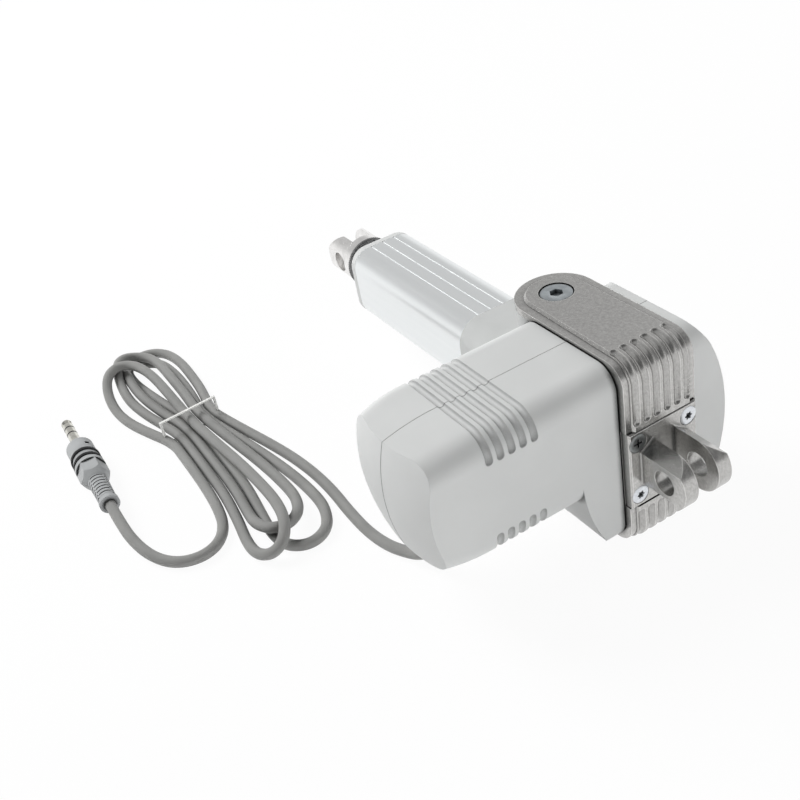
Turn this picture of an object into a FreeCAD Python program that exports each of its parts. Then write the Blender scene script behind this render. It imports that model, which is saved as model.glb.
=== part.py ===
# Electric linear actuator: worm-geared motor, spindle and telescopic rod, with a corded jack plug.
# Millimetres. +X runs forward to the rod eye, +Y towards the motor, +Z up.
# The origin is the centre of the rear clevis hole, on the spindle axis.
import FreeCAD, Part
import math
import os
import re
import Sketcher
from FreeCAD import Placement, Rotation, Vector

doc = FreeCAD.newDocument("linear_actuator")
dims = doc.addObject("Spreadsheet::Sheet", "dims")

SIZES = [
    # Rear clevis
    ("clevis_hole", 12.2), ("clevis_reach", 14.6), ("clevis_radius", 13.5), ("clevis_width", 26.8),
    ("clevis_gap", 12.0), ("clevis_edge_height", 16.8), ("plate_thickness", 5.0), ("plate_height", 42.4),
    ("plate_clearance", 0.35), ("plate_bevel", 0.8), ("ear_root_round", 0.9), ("plate_screw_pitch", 29.4),
    ("plate_screw_radius", 2.5), ("plate_screw_head", 4.75), ("plate_screw_length", 22.0),
    ("screw_clearance", 0.1),
    # Yoke strap
    ("strap_width", 40.0), ("strap_top", 57.0), ("strap_bottom", -46.0), ("strap_wall", 9.4),
    ("strap_arm", 5.0), ("strap_bend", 12.0), ("strap_inner_bend", 6.0), ("strap_screw_x", 85.6),
    ("strap_rim_step", 1.5), ("panel_bevel", 1.2), ("panel_width", 34.4), ("panel_end_width", 31.2),
    ("strap_flute_pitch", 5.85), ("strap_flute_radius", 2.25), ("strap_flute_rise", 0.75),
    ("strap_flute_end_gap", 4.8), ("strap_flute_run", 1.0),
    ("strap_screw_head", 8.2), ("strap_screw_head_depth", 3.0), ("strap_screw_sink", 0.3),
    ("strap_screw_radius", 5.0), ("strap_screw_length", 26.0),
    # Housing shells
    ("housing_rear", 20.0), ("housing_depth", 66.0), ("housing_top", 53.6), ("gear_bottom", -44.0),
    ("gear_arc_radius", 85.0), ("gear_side", 42.3), ("gear_arc_height", 4.5), ("gear_corner", 12.0),
    ("motor_bottom", -10.6), ("motor_corner", 11.6), ("motor_straight", 91.0), ("motor_reach", 122.4),
    ("motor_barrel", 0.0048), ("motor_under_draw", 0.6), ("motor_dome", 90.0),
    ("shell_wall", 3.0), ("slot_clearance", 0.5),
    ("motor_flute_middle", 76.0), ("motor_flute_pitch", 5.77), ("motor_flute_radius", 2.05),
    ("motor_flute_rise", 0.83), ("boss_radius", 4.2), ("shell_screw_radius", 1.9), ("shell_screw_head", 3.4),
    ("shell_screw_sink", 3.0), ("shell_screw_head_depth", 2.0), ("shell_screw_length", 42.0),
    ("boss_room", 3.3), ("right_boss_top", 25.0), ("right_boss_low", -20.0),
    ("left_boss_shift", 0.3), ("left_boss_z", -28.0),
    ("end_boss_inset", 12.4), ("end_boss_drop", 13.1), ("end_boss_rise", 13.6),
    # Nose block and outer tube
    ("boss_gap", 0.3), ("bearing_block_rear", 66.0), ("bearing_block_side", 23.0),
    ("bearing_block_height", 20.0), ("neck_rear_side", 31.0), ("neck_rear_height", 34.0),
    ("neck_rear_corner", 22.0), ("neck_lip", 2.2), ("neck_end", 143.0), ("socket_start", 113.0),
    ("tube_side", 21.4), ("tube_height", 21.8), ("tube_corner", 11.3), ("tube_wall", 2.5),
    ("tube_end", 258.2), ("tube_fit", 0.1), ("tube_groove_pitch", 7.9), ("tube_groove_radius", 0.35),
    ("cap_thickness", 6.0), ("cap_edge", 2.6), ("cap_clearance", 0.5),
    # Spindle drive
    ("spindle_radius", 7.0), ("spindle_start", 28.5), ("spindle_end", 238.0), ("spindle_chamfer", 2.0),
    ("running_fit", 0.04),
    ("bearing_radius", 16.0), ("bearing_width", 10.0), ("bearing_shoulder", 10.0), ("bearing_inset", 1.5),
    ("frame_plate", 12.5),
    ("frame_rail", 3.4), ("frame_rail_height", 12.0), ("frame_lug_top", 31.5), ("frame_lug_width", 20.0),
    ("seat_fit", 0.02), ("mesh_gap", 0.5), ("wheel_radius", 16.0), ("wheel_width", 14.0),
    ("wheel_teeth", 30), ("tooth_radius", 1.1), ("worm_radius", 5.0), ("worm_length", 28.0),
    ("nut_start", 86.0), ("nut_length", 16.0), ("nut_radius", 13.5), ("nut_bore_room", 2.0),
    ("nut_end_room", 4.0),
    # Rod
    ("rod_radius", 12.5), ("rod_bore", 8.5), ("rod_plug", 16.0), ("eye_hole_x", 295.0), ("eye_hole", 12.2),
    ("eye_radius", 15.0), ("eye_end_radius", 14.0), ("eye_shank", 14.0), ("eye_slot", 12.2),
    ("eye_slot_depth", 6.0), ("eye_flats", 27.2), ("lock_ring_radius", 15.8), ("lock_ring_width", 2.8),
    ("guide_length", 18.0), ("wiper_radius", 16.0), ("wiper_width", 3.4), ("wiper_inset", 1.3),
    # Limit switches
    ("strip_start", 116.0), ("strip_width", 12.0), ("strip_thickness", 1.6), ("switch_length", 16.0),
    ("switch_height", 2.8), ("switch_inset", 4.0),
    # Motor
    ("can_room", 4.1), ("can_wall", 2.0), ("can_start", 26.0), ("can_end_room", 1.3),
    ("end_cap_depth", 7.0), ("end_cap_chamfer", 3.0), ("front_plate_room", 1.0),
    ("shaft_radius", 3.0), ("shaft_tail", -26.0), ("shaft_end_gap", 0.5), ("magnet_thickness", 4.5),
    ("magnet_inset", 10.0), ("winding_room", 3.0), ("magnet_gap_angle", 30.0), ("air_gap", 0.5),
    ("armature_slots", 10), ("armature_slot_radius", 2.4), ("commutator_bars", 20), ("bar_gap_radius", 0.4),
    ("commutator_radius", 9.0), ("commutator_back", 2.5), ("commutator_length", 10.0),
    ("brush_width", 6.0), ("brush_gap", 0.3), ("motor_bearing_radius", 8.0), ("motor_bearing_width", 5.0),
    ("bush_radius", 5.5),
    # Cord and plug
    ("cord_radius", 3.0), ("gland_x", 66.0), ("gland_y", 96.0), ("gland_radius", 7.0), ("gland_neck", 4.8),
    ("gland_drop", 5.9), ("gland_rim", 1.0), ("gland_taper", 2.0),
    ("hank_height", 14.0), ("hank_bottom", -45.2), ("tie_wire", 0.8),
    ("plug_x", 219.7), ("plug_y", 209.1), ("plug_z", -37.2), ("plug_turn", -3.2),
    ("boot_length", 27.0), ("boot_tip_radius", 5.6), ("boot_neck", 24.4), ("boot_neck_radius", 5.5),
    ("boot_root_radius", 7.2), ("boot_rim", 3.0), ("boot_rim_step", 0.5), ("boot_slot_start", 4.4),
    ("boot_slot_rows", 14), ("boot_slot_pitch", 1.42), ("boot_slot_width", 0.75), ("boot_slot_half", 3.6),
    ("boot_slot_root", 3.7), ("grip_length", 10.5), ("grip_bevel", 2.4), ("grip_radius", 8.7),
    ("flange_radius", 8.7), ("flange_length", 3.0), ("collar_radius", 7.9), ("collar_length", 26.0),
    ("collar_chamfer", 1.0), ("key_back", 6.0), ("key_length", 2.2), ("key_side", -6.6), ("key_width", 3.0),
    ("key_floor", 5.2), ("ring_inset", 1.5), ("ring_pitch", 6.0),
    ("ring_groove_radius", 6.8), ("ring_radius", 8.6), ("ring_width", 2.4),
    ("pin_radius", 3.175), ("pin_length", 33.0), ("pin_band", 1.2), ("pin_core", 2.2),
    ("ring_contact_back", 18.0), ("tip_back", 11.5), ("tip_shoulder_back", 6.5), ("tip_neck_back", 4.5),
    ("tip_bulb_back", 3.0), ("tip_nose_back", 1.5), ("tip_nose_radius", 2.55), ("tip_end_radius", 1.0),
]
ALIASES = {alias for alias, value in SIZES}
for row, (alias, value) in enumerate(SIZES, start=1):
    dims.set(f"A{row}", alias)
    dims.set(f"B{row}", str(value))
    dims.setAlias(f"B{row}", alias)
doc.recompute()

ALONG_X = Rotation(Vector(0, 0, 1), Vector(1, 0, 0))
ALONG_Y = Rotation(Vector(0, 0, 1), Vector(0, 1, 0))
UPRIGHT = Rotation()
X_TO_Y = Rotation(Vector(0, 0, 1), 90)
X_TO_Z = Rotation(Vector(0, 1, 0), -90)
TOLERANCE = 0.01


def bound(formula):
    """A formula in the sheet's names, as the document's objects read it."""
    def cell(match):
        word = match.group()
        return "dims." + word if word in ALIASES else word
    return re.sub(r"[a-z_]\w*", cell, str(formula))


def number(formula):
    """The present value of a formula in the sheet's names."""
    return float(dims.evalExpression(bound(formula)))


def place(item, at, turn=UPRIGHT):
    item.Placement = Placement(Vector(), turn)
    for axis, formula in zip("xyz", at):
        item.setExpression("Placement.Base." + axis, bound(formula))


def primitive(kind, name, at, turn=UPRIGHT, **lengths):
    item = doc.addObject("Part::" + kind, name)
    for key, formula in lengths.items():
        item.setExpression(key, bound(formula))
    place(item, at, turn)
    return item


def block(name, x, y, z):
    """Box between the pairs of limits x, y and z."""
    lengths = {key: f"({high}) - ({low})" for key, (low, high) in
               zip(("Length", "Width", "Height"), (x, y, z))}
    return primitive("Box", name, (x[0], y[0], z[0]), **lengths)


def bar_x(name, radius, x, y="0", z="0"):
    """Cylinder along X between the pair of limits x."""
    return primitive("Cylinder", name, (x[0], y, z), ALONG_X, Radius=radius, Height=f"({x[1]}) - ({x[0]})")


def bar_y(name, radius, y, x="0", z="0"):
    return primitive("Cylinder", name, (x, y[0], z), ALONG_Y, Radius=radius, Height=f"({y[1]}) - ({y[0]})")


def bar_z(name, radius, z, x="0", y="0"):
    return primitive("Cylinder", name, (x, y, z[0]), UPRIGHT, Radius=radius, Height=f"({z[1]}) - ({z[0]})")


def fuse(name, *items):
    whole = doc.addObject("Part::MultiFuse", name)
    whole.Shapes = list(items)
    return whole


def cut(name, base, *tools):
    result = doc.addObject("Part::Cut", name)
    result.Base = base
    result.Tool = tools[0] if len(tools) == 1 else fuse(name + "_tools", *tools)
    return result


def common(name, *items):
    shared = doc.addObject("Part::MultiCommon", name)
    shared.Shapes = list(items)
    return shared


def rounded(name, base, radius, picks, kind="Fillet"):
    """Fillet or chamfer on the base's edges that picks says yes to."""
    doc.recompute()
    reach = number(radius)
    result = doc.addObject("Part::" + kind, name)
    result.Base = base
    edges = enumerate(base.Shape.Edges, start=1)
    result.Edges = [(index, reach, reach) for index, edge in edges if picks(edge)]
    return result


def runs_along(axis):
    """Picks straight edges parallel to the axis."""
    def picks(edge):
        ends = [vertex.Point for vertex in edge.Vertexes]
        if len(ends) != 2 or not isinstance(edge.Curve, Part.Line):
            return False
        return abs((ends[1] - ends[0]).normalize().dot(axis)) > 1 - TOLERANCE
    return picks


def lies_on(x, spread=None):
    """Picks edges in the plane across X there, within the spread from its middle if one is given."""
    def picks(edge):
        box = edge.BoundBox
        level = max(abs(box.XMin - number(x)), abs(box.XMax - number(x)))
        inside = spread is None or max(abs(box.YMin), abs(box.YMax)) < number(spread)
        return level < TOLERANCE and inside
    return picks


def rounded_block(name, x, y, z, radius, axis):
    return rounded(name, block(name + "_block", x, y, z), radius, runs_along(axis))


def outline(body, name, role, corners):
    """Closed sketch on one of the body's origin planes, each corner bound to the sheet."""
    sketch = body.newObject("Sketcher::SketchObject", name)
    plane = next(item for item in body.Origin.OriginFeatures if item.Role == role)
    sketch.AttachmentSupport = [(plane, "")]
    sketch.MapMode = "FlatFace"
    spots = [Vector(number(u), number(v), 0) for u, v in corners]
    count = len(spots)
    for index, spot in enumerate(spots):
        sketch.addGeometry(Part.LineSegment(spot, spots[(index + 1) % count]))
    for index in range(count):
        sketch.addConstraint(Sketcher.Constraint("Coincident", index, 2, (index + 1) % count, 1))
    for index, (spot, formulas) in enumerate(zip(spots, corners)):
        for kind, value, formula in zip(("DistanceX", "DistanceY"), (spot.x, spot.y), formulas):
            datum = sketch.addConstraint(Sketcher.Constraint(kind, -1, 1, index, 1, value))
            sketch.setExpression(f"Constraints[{datum}]", bound(formula))
    return sketch


def turned(name, corners, at=("0", "0", "0"), turn=UPRIGHT):
    """Body revolved about its own X axis from a profile of (distance along, radius) corners."""
    body = doc.addObject("PartDesign::Body", name)
    sketch = outline(body, name + "_profile", "XZ_Plane", corners)
    revolution = body.newObject("PartDesign::Revolution", name + "_turning")
    revolution.Profile = sketch
    revolution.ReferenceAxis = (sketch, ["H_Axis"])
    revolution.Angle = 360
    body.Tip = revolution
    place(body, at, turn)
    return body


def sleeve(name, inner, outer, along, at=("0", "0", "0"), turn=UPRIGHT):
    """Turned ring between two radii, along the pair of limits."""
    start, end = along
    return turned(name, [(start, inner), (end, inner), (end, outer), (start, outer)], at, turn)


def padded(name, role, corners, length, at=("0", "0", "0")):
    """Body padded from an outline, centred on its plane."""
    body = doc.addObject("PartDesign::Body", name)
    pad = body.newObject("PartDesign::Pad", name + "_pad")
    pad.Profile = outline(body, name + "_outline", role, corners)
    pad.setExpression("Length", bound(length))
    pad.Midplane = True
    body.Tip = pad
    place(body, at)
    return body


def coded(name, shape):
    item = doc.addObject("Part::Feature", name)
    item.Shape = shape
    return item


def sorted_pair(first, second):
    return (first, second) if number(first) < number(second) else (second, first)


def ring_of_arcs(arcs):
    """Closed wire of arcs, each given by three points, joined by straight lines."""
    edges = []
    for arc, after in zip(arcs, arcs[1:] + arcs[:1]):
        edges.append(Part.Arc(*arc).toShape())
        edges.append(Part.LineSegment(arc[2], after[0]).toShape())
    return Part.Wire(edges)


def rounded_ring(low, high, radius):
    """Rounded rectangle between two opposite corners in a plane across X or Y."""
    side = Vector(high.x - low.x, high.y - low.y, 0)
    rise = Vector(0, 0, high.z - low.z)
    along, up = Vector(side).normalize() * radius, Vector(rise).normalize() * radius
    inward = 1 - math.sqrt(0.5)
    arcs = []
    for corner, to_side, to_rise in ((low, along, up), (low + side, up, -along),
                                     (high, -along, -up), (low + rise, -up, along)):
        arcs.append((corner + to_rise, corner + (to_side + to_rise) * inward, corner + to_side))
    return ring_of_arcs(arcs)


def mirrored_spots(spread):
    """The four corners of a square, as formulas."""
    half = f"{spread} / 2"
    return [(half, half), (f"-{half}", half), (f"-{half}", f"-{half}"), (half, f"-{half}")]


NODES = []


def keep(item, label):
    item.Label = label
    NODES.append(item)
    return item


HALF_STRAP = "strap_width / 2"
STRAP_INNER_X = "clevis_reach + strap_wall"
PLATE_BACK = "clevis_reach + plate_thickness"
HOUSING_FRONT = "housing_rear + housing_depth"
SLOT_TOP = "strap_top - strap_arm"
SLOT_BOTTOM = "strap_bottom + strap_arm"
FRAME_FRONT = "bearing_block_rear"
FRAME_REAR = f"{STRAP_INNER_X} + shell_wall"
EYE_REAR = "eye_hole_x - eye_shank"
CAP_FRONT = "tube_end + cap_thickness"
# A cutting form runs this far past the face that it cuts, or right through the part.
PAST = "1"
FAR = "400"
# The worm wheel stands in the middle of the housing, and the worm and motor above it.
GEAR_AXIS_X = "(housing_rear + housing_depth / 2)"
WORM_AXIS_Z = "(wheel_radius + worm_radius + mesh_gap)"

# Rear clevis: die-cast plate with two ears, their long edges sloped off towards the outside.
ear_profile = fuse(
    "ear_profile",
    bar_y("ear_round", "clevis_radius", ("-clevis_width / 2", "clevis_width / 2")),
    block("ear_root", ("0", "clevis_reach + plate_thickness / 2"),
          ("-clevis_width / 2", "clevis_width / 2"), ("-clevis_radius", "clevis_radius")))
ear_slope = padded(
    "ear_slope", "YZ_Plane",
    [("-clevis_width / 2", "-clevis_edge_height / 2"), ("-clevis_gap / 2", "-clevis_radius"),
     ("clevis_gap / 2", "-clevis_radius"), ("clevis_width / 2", "-clevis_edge_height / 2"),
     ("clevis_width / 2", "clevis_edge_height / 2"), ("clevis_gap / 2", "clevis_radius"),
     ("-clevis_gap / 2", "clevis_radius"), ("-clevis_width / 2", "clevis_edge_height / 2")],
    "4 * clevis_reach + 2 * plate_thickness")
clevis_plate = rounded("clevis_plate", block(
    "clevis_plate_block", ("clevis_reach", PLATE_BACK),
    (f"plate_clearance - {HALF_STRAP}", f"{HALF_STRAP} - plate_clearance"),
    ("-plate_height / 2", "plate_height / 2")), "plate_bevel", lies_on("clevis_reach"), "Chamfer")
ear_spread = "clevis_width / 2 + ear_root_round"
clevis_solid = rounded(
    "clevis_solid", fuse("clevis_form", clevis_plate, common("clevis_ears", ear_profile, ear_slope)),
    "ear_root_round", lies_on("clevis_reach", ear_spread))
clevis_openings = [
    bar_y("clevis_bore", "clevis_hole / 2", ("-clevis_width", "clevis_width")),
    block("clevis_slot", ("-2 * clevis_radius", "clevis_reach"), ("-clevis_gap / 2", "clevis_gap / 2"),
          ("-2 * clevis_radius", "2 * clevis_radius"))]

# Four countersunk screws hold the clevis plate through the strap to the gear frame.
plate_screws = []
plate_screw_holes = []
for index, (y, z) in enumerate(mirrored_spots("plate_screw_pitch")):
    head_depth = "plate_screw_head - plate_screw_radius"
    plate_screws.append(turned(
        f"plate_screw_{index}",
        [("0", "0"), ("0", "plate_screw_head"), (head_depth, "plate_screw_radius"),
         ("plate_screw_length", "plate_screw_radius"), ("plate_screw_length", "0")],
        ("clevis_reach + screw_clearance", y, z)))
    clevis_openings.append(turned(
        f"plate_countersink_{index}",
        [(f"-{PAST}", "0"), (f"-{PAST}", "plate_screw_head + screw_clearance"),
         ("screw_clearance", "plate_screw_head + screw_clearance"),
         (f"screw_clearance + {head_depth}", "plate_screw_radius + screw_clearance"),
         ("2 * plate_thickness", "plate_screw_radius + screw_clearance"), ("2 * plate_thickness", "0")],
        ("clevis_reach", y, z)))
    plate_screw_holes.append(bar_x(
        f"plate_screw_hole_{index}", "plate_screw_radius + screw_clearance",
        ("clevis_reach", f"clevis_reach + plate_screw_length + {PAST}"), y, z))
keep(cut("rear_clevis_cut", clevis_solid, *clevis_openings), "rear_clevis")
keep(fuse("clevis_screws_set", *plate_screws), "clevis_screws")
screw_passage = fuse("screw_passage", *plate_screw_holes)

# Yoke strap: die-cast U that ties the clevis to the nose block, with a raised panel and flutes.
core = rounded_block("strap_core", (STRAP_INNER_X, FAR), (f"-{FAR}", FAR), (SLOT_BOTTOM, SLOT_TOP),
                     "strap_inner_bend", Vector(0, 1, 0))
rim_form = rounded_block(
    "rim_form", ("clevis_reach + strap_rim_step", FAR), (f"-{HALF_STRAP}", HALF_STRAP),
    ("strap_bottom + strap_rim_step", "strap_top - strap_rim_step"), "strap_bend - strap_rim_step",
    Vector(0, 1, 0))
panel_form = rounded_block("panel_form", ("clevis_reach", FAR), (f"-{HALF_STRAP}", HALF_STRAP),
                           ("strap_bottom", "strap_top"), "strap_bend", Vector(0, 1, 0))


def tongue(name, rear_width, end_width):
    """Upright prism of the strap's plan: a straight or tapering strip with a round end at the screw."""
    rear, end_x = 0.0, number("strap_screw_x")
    half_rear, half_end = number(rear_width) / 2, number(end_width) / 2
    low, height = number("2 * strap_bottom"), number("4 * strap_top")
    corners = [Vector(rear, -half_rear, low), Vector(end_x, -half_end, low), Vector(end_x + half_end, 0, low),
               Vector(end_x, half_end, low), Vector(rear, half_rear, low)]
    edges = [Part.LineSegment(corners[0], corners[1]), Part.Arc(*corners[1:4]),
             Part.LineSegment(corners[3], corners[4]), Part.LineSegment(corners[4], corners[0])]
    wire = Part.Wire([edge.toShape() for edge in edges])
    return coded(name, Part.Face(wire).extrude(Vector(0, 0, height)))


def outlines_panel(edge):
    """Picks the panel's outer edges, but not those at the cut ends and inside the strap."""
    middle = edge.valueAt((edge.FirstParameter + edge.LastParameter) / 2)
    ends = [vertex.Point for vertex in edge.Vertexes]
    across = max(abs(end.y - middle.y) for end in ends)
    on_side = abs(middle.y) > number("panel_end_width") / 2 - TOLERANCE and across < number("strap_rim_step")
    on_tip = middle.x > number("strap_screw_x") + TOLERANCE
    upright = abs(ends[0].z - ends[-1].z) > number("strap_top")
    at_wall = max(end.x for end in ends) < number("clevis_reach") + TOLERANCE
    return (on_side and (at_wall or not upright)) or (on_tip and not upright)


panel_block = common("strap_panel", panel_form, tongue("panel_plan", "panel_width", "panel_end_width"))
panel = rounded("panel", panel_block, "panel_bevel", outlines_panel, "Chamfer")
strap_form = fuse(
    "strap_form", common("strap_rim", rim_form, tongue("rim_plan", "strap_width", "strap_width")), panel)


def strap_flute(name, y, side):
    """Round groove down the rear wall, over the bend and a short way along the arm; side is 1 or -1."""
    radius, offset = "strap_flute_radius", "strap_flute_rise"
    face_x = f"clevis_reach - {offset}"
    arm = "strap_top" if side > 0 else "-strap_bottom"
    face_z = f"{arm} + {offset}"
    bend_x, bend_z = "clevis_reach + strap_bend", f"{arm} - strap_bend"
    low = "plate_height / 2 + strap_flute_end_gap"
    run_end = f"{bend_x} + strap_flute_run"
    up = f"{side} * "
    pieces = [
        primitive("Sphere", name + "_foot", (face_x, y, f"{up}({low})"), Radius=radius),
        bar_z(name + "_wall", radius, sorted_pair(f"{up}({low})", f"{up}({bend_z})"), face_x, y),
        primitive("Torus", name + "_bend", (bend_x, y, f"{up}({bend_z})"),
                  Rotation(Vector(1, 0, 0), 90), Radius1=f"strap_bend + {offset}", Radius2=radius),
        bar_x(name + "_arm", radius, (bend_x, run_end), y, f"{up}({face_z})"),
        primitive("Sphere", name + "_tip", (run_end, y, f"{up}({face_z})"), Radius=radius)]
    bend = pieces[2]
    bend.Angle3 = 90
    bend.Placement = Placement(bend.Placement.Base, Rotation(Vector(1, 0, 0), 90) * Rotation(
        Vector(0, 0, 1), 90 if side > 0 else 180))
    return pieces


flutes = []
for side in (1, -1):
    for index in range(6):
        y = f"{index - 2.5} * strap_flute_pitch"
        flutes.extend(strap_flute(f"strap_flute_{index}_{'upper' if side > 0 else 'lower'}", y, side))
plate_window = block("plate_window", ("0", PLATE_BACK), (f"-{HALF_STRAP} - {PAST}", f"{HALF_STRAP} + {PAST}"),
                     ("-plate_height / 2 - plate_clearance", "plate_height / 2 + plate_clearance"))

# Two flush cap screws fix the strap's arms to the nose block, one above and one below.
cap_screws = []
cap_screw_seats = []
for name, face, turn in (("top", "strap_top", X_TO_Z.inverted()), ("bottom", "strap_bottom", X_TO_Z)):
    spot = ("strap_screw_x", "0", face)
    start = "strap_screw_sink"
    under_head = "strap_screw_sink + strap_screw_head_depth"
    seat_end = f"strap_screw_length + {PAST}"
    cap_screws.append(turned(
        f"cap_screw_{name}",
        [(start, "0"), (start, "strap_screw_head"), (under_head, "strap_screw_head"),
         (under_head, "strap_screw_radius"), ("strap_screw_length", "strap_screw_radius"),
         ("strap_screw_length", "0")], spot, turn))
    cap_screw_seats.append(turned(
        f"cap_screw_seat_{name}",
        [(f"-{PAST}", "0"), (f"-{PAST}", "strap_screw_head + 3 * screw_clearance"),
         (under_head, "strap_screw_head + 3 * screw_clearance"),
         (under_head, "strap_screw_radius + screw_clearance"),
         (seat_end, "strap_screw_radius + screw_clearance"), (seat_end, "0")],
        spot, turn))
strap_cut = cut("yoke_strap_cut", strap_form, core, plate_window, screw_passage, *flutes, *cap_screw_seats)
keep(strap_cut, "yoke_strap")
keep(fuse("strap_screws_set", *cap_screws), "strap_screws")

# Housing: gear case of two shallow side arcs, with the motor barrel to the left.
gear_z = ("gear_bottom", "housing_top")


def gear_case(name, wall, rear, z):
    """The gear case's form, drawn in by the wall."""
    wide = ("-2 * gear_side", "2 * gear_side")
    sides = [bar_x(f"{name}_side_{tag}", f"gear_arc_radius - {wall}", ("0", "2 * housing_depth"),
                   f"{sign} * (gear_arc_radius - gear_side)", "gear_arc_height")
             for tag, sign in (("left", -1), ("right", 1))]
    front = f"{HOUSING_FRONT} - {wall}"
    return common(name, rounded_block(name + "_depth", (rear, front), wide, z, f"gear_corner - {wall}",
                                      Vector(0, 1, 0)), *sides)


def motor_section(y, wall):
    """Rounded rectangle of the motor barrel at y, shrinking along its barrelled end."""
    past = max(0.0, y - number("motor_straight"))
    draw_in = number("motor_barrel") * past ** 2
    left, right = number("housing_rear") + draw_in + wall, number(HOUSING_FRONT) - draw_in - wall
    low = number("motor_bottom") + number("motor_under_draw") * draw_in + wall
    high = number("housing_top") - draw_in - wall
    return rounded_ring(Vector(left, y, low), Vector(right, y, high), number("motor_corner") - wall)


def motor_barrel(name, wall, start):
    """The motor barrel's form, straight and then barrelled, closed by a shallow dome."""
    straight, reach = number("motor_straight"), number("motor_reach")
    depth = number("housing_depth")
    body = Part.Face(motor_section(start, wall)).extrude(Vector(0, straight - start, 0))
    past = [straight, (2 * straight + reach) / 3, reach + number(PAST)]
    end = Part.makeLoft([motor_section(y, wall) for y in past], True, False)
    middle = Vector(number("housing_rear") + depth / 2, reach - number("motor_dome"),
                    number("motor_bottom + housing_top") / 2)
    ball = Part.makeSphere(number("motor_dome") - wall, middle)
    return coded(name, body.fuse(end).common(ball).removeSplitter())


housing_form = fuse("housing_form", gear_case("gear_form", "0", "housing_rear", gear_z),
                    motor_barrel("motor_form", 0.0, 0.0))
hollow_z = (f"{SLOT_BOTTOM} + shell_wall", f"{SLOT_TOP} - shell_wall")
motor_hollow_start = number("bearing_block_side")
housing_hollow = fuse("housing_hollow", gear_case("gear_hollow", "shell_wall", FRAME_REAR, hollow_z),
                      motor_barrel("motor_hollow", number("shell_wall"), motor_hollow_start))
slot_half = f"{HALF_STRAP} + slot_clearance"
slot_form = block("slot_form", ("0", FAR), (f"-({slot_half})", slot_half),
                  ("2 * strap_bottom", "2 * strap_top"))
strap_slot = cut("strap_slot", slot_form, core)


def motor_flute(name, y, face, sign):
    """Round groove across the motor barrel, turning down both sides; sign is 1 above and -1 below."""
    radius, reach = "motor_flute_radius", "motor_corner + motor_flute_rise"
    centre_z = f"{face} - {sign} * motor_corner"
    run_z = f"{face} + {sign} * motor_flute_rise"
    rear_start, front_start = (90, 0) if sign > 0 else (180, 270)
    ends = (("rear", "housing_rear + motor_corner", "housing_rear - motor_flute_rise", rear_start),
            ("front", f"{HOUSING_FRONT} - motor_corner", f"{HOUSING_FRONT} + motor_flute_rise", front_start))
    pieces = [bar_x(name + "_run", radius, (ends[0][1], ends[1][1]), y, run_z)]
    for tag, centre_x, foot_x, start in ends:
        bend = primitive("Torus", f"{name}_{tag}", (centre_x, y, centre_z), Rotation(Vector(1, 0, 0), 90),
                         Radius1=reach, Radius2=radius)
        bend.Angle3 = 90
        bend.Placement = Placement(Vector(), Rotation(Vector(1, 0, 0), 90) * Rotation(Vector(0, 0, 1), start))
        pieces.append(bend)
        pieces.append(primitive("Sphere", f"{name}_{tag}_foot", (foot_x, y, centre_z), Radius=radius))
    return pieces


motor_flutes = []
for index in range(5):
    y = f"motor_flute_middle + {index - 2} * motor_flute_pitch"
    motor_flutes.extend(motor_flute(f"motor_flute_{index}_top", y, "housing_top", 1))
    motor_flutes.extend(motor_flute(f"motor_flute_{index}_bottom", y, "motor_bottom", -1))
housing_skin = cut("housing_skin", housing_form, housing_hollow, strap_slot, *motor_flutes)

# Five long screws from the front draw the two shells together through hollow bosses.
right_boss_y = "-bearing_block_side - boss_radius - boss_room"
end_boss_y = "motor_reach - end_boss_inset"
BOSSES = [(right_boss_y, "right_boss_top"), (right_boss_y, "right_boss_low"),
          ("bearing_block_side + boss_radius + left_boss_shift", "left_boss_z"),
          (end_boss_y, "housing_top - end_boss_drop"), (end_boss_y, "motor_bottom + end_boss_rise")]
boss_x = (f"housing_rear + {PAST}", f"{HOUSING_FRONT} - {PAST}")
boss_bars = [bar_x(f"shell_boss_{index}", "boss_radius", boss_x, y, z) for index, (y, z) in enumerate(BOSSES)]
screw_head_x = f"{HOUSING_FRONT} - shell_screw_sink"
screw_seat_x = f"{screw_head_x} - shell_screw_head_depth"
shell_screws = []
shell_screw_holes = []
for index, (y, z) in enumerate(BOSSES):
    shell_screws.append(fuse(
        f"shell_screw_{index}",
        bar_x(f"shell_screw_head_{index}", "shell_screw_head", (screw_seat_x, screw_head_x), y, z),
        bar_x(f"shell_screw_shank_{index}", "shell_screw_radius",
              (f"{screw_head_x} - shell_screw_length", screw_head_x), y, z)))
    shell_screw_holes.append(fuse(
        f"shell_screw_hole_{index}",
        bar_x(f"shell_counterbore_{index}", "shell_screw_head + screw_clearance",
              (screw_seat_x, f"{HOUSING_FRONT} + {PAST}"), y, z),
        bar_x(f"shell_screw_bore_{index}", "shell_screw_radius + screw_clearance",
              (f"{screw_head_x} - shell_screw_length - {PAST}", screw_head_x), y, z)))

# Nose block: casting with the front bearing seat, the upright boss under the strap and the tube's neck.
neck_front = ("tube_side + neck_lip", "tube_height + neck_lip", "tube_corner + neck_lip")
neck_rear = ("neck_rear_side", "neck_rear_height", "neck_rear_corner")


def square_section(x, half_y, half_z, corner):
    """Rounded square in the plane at x, about the spindle axis."""
    far_corner = Vector(x, number(half_y), number(half_z))
    return rounded_ring(Vector(x, -far_corner.y, -far_corner.z), far_corner, number(corner))


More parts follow.
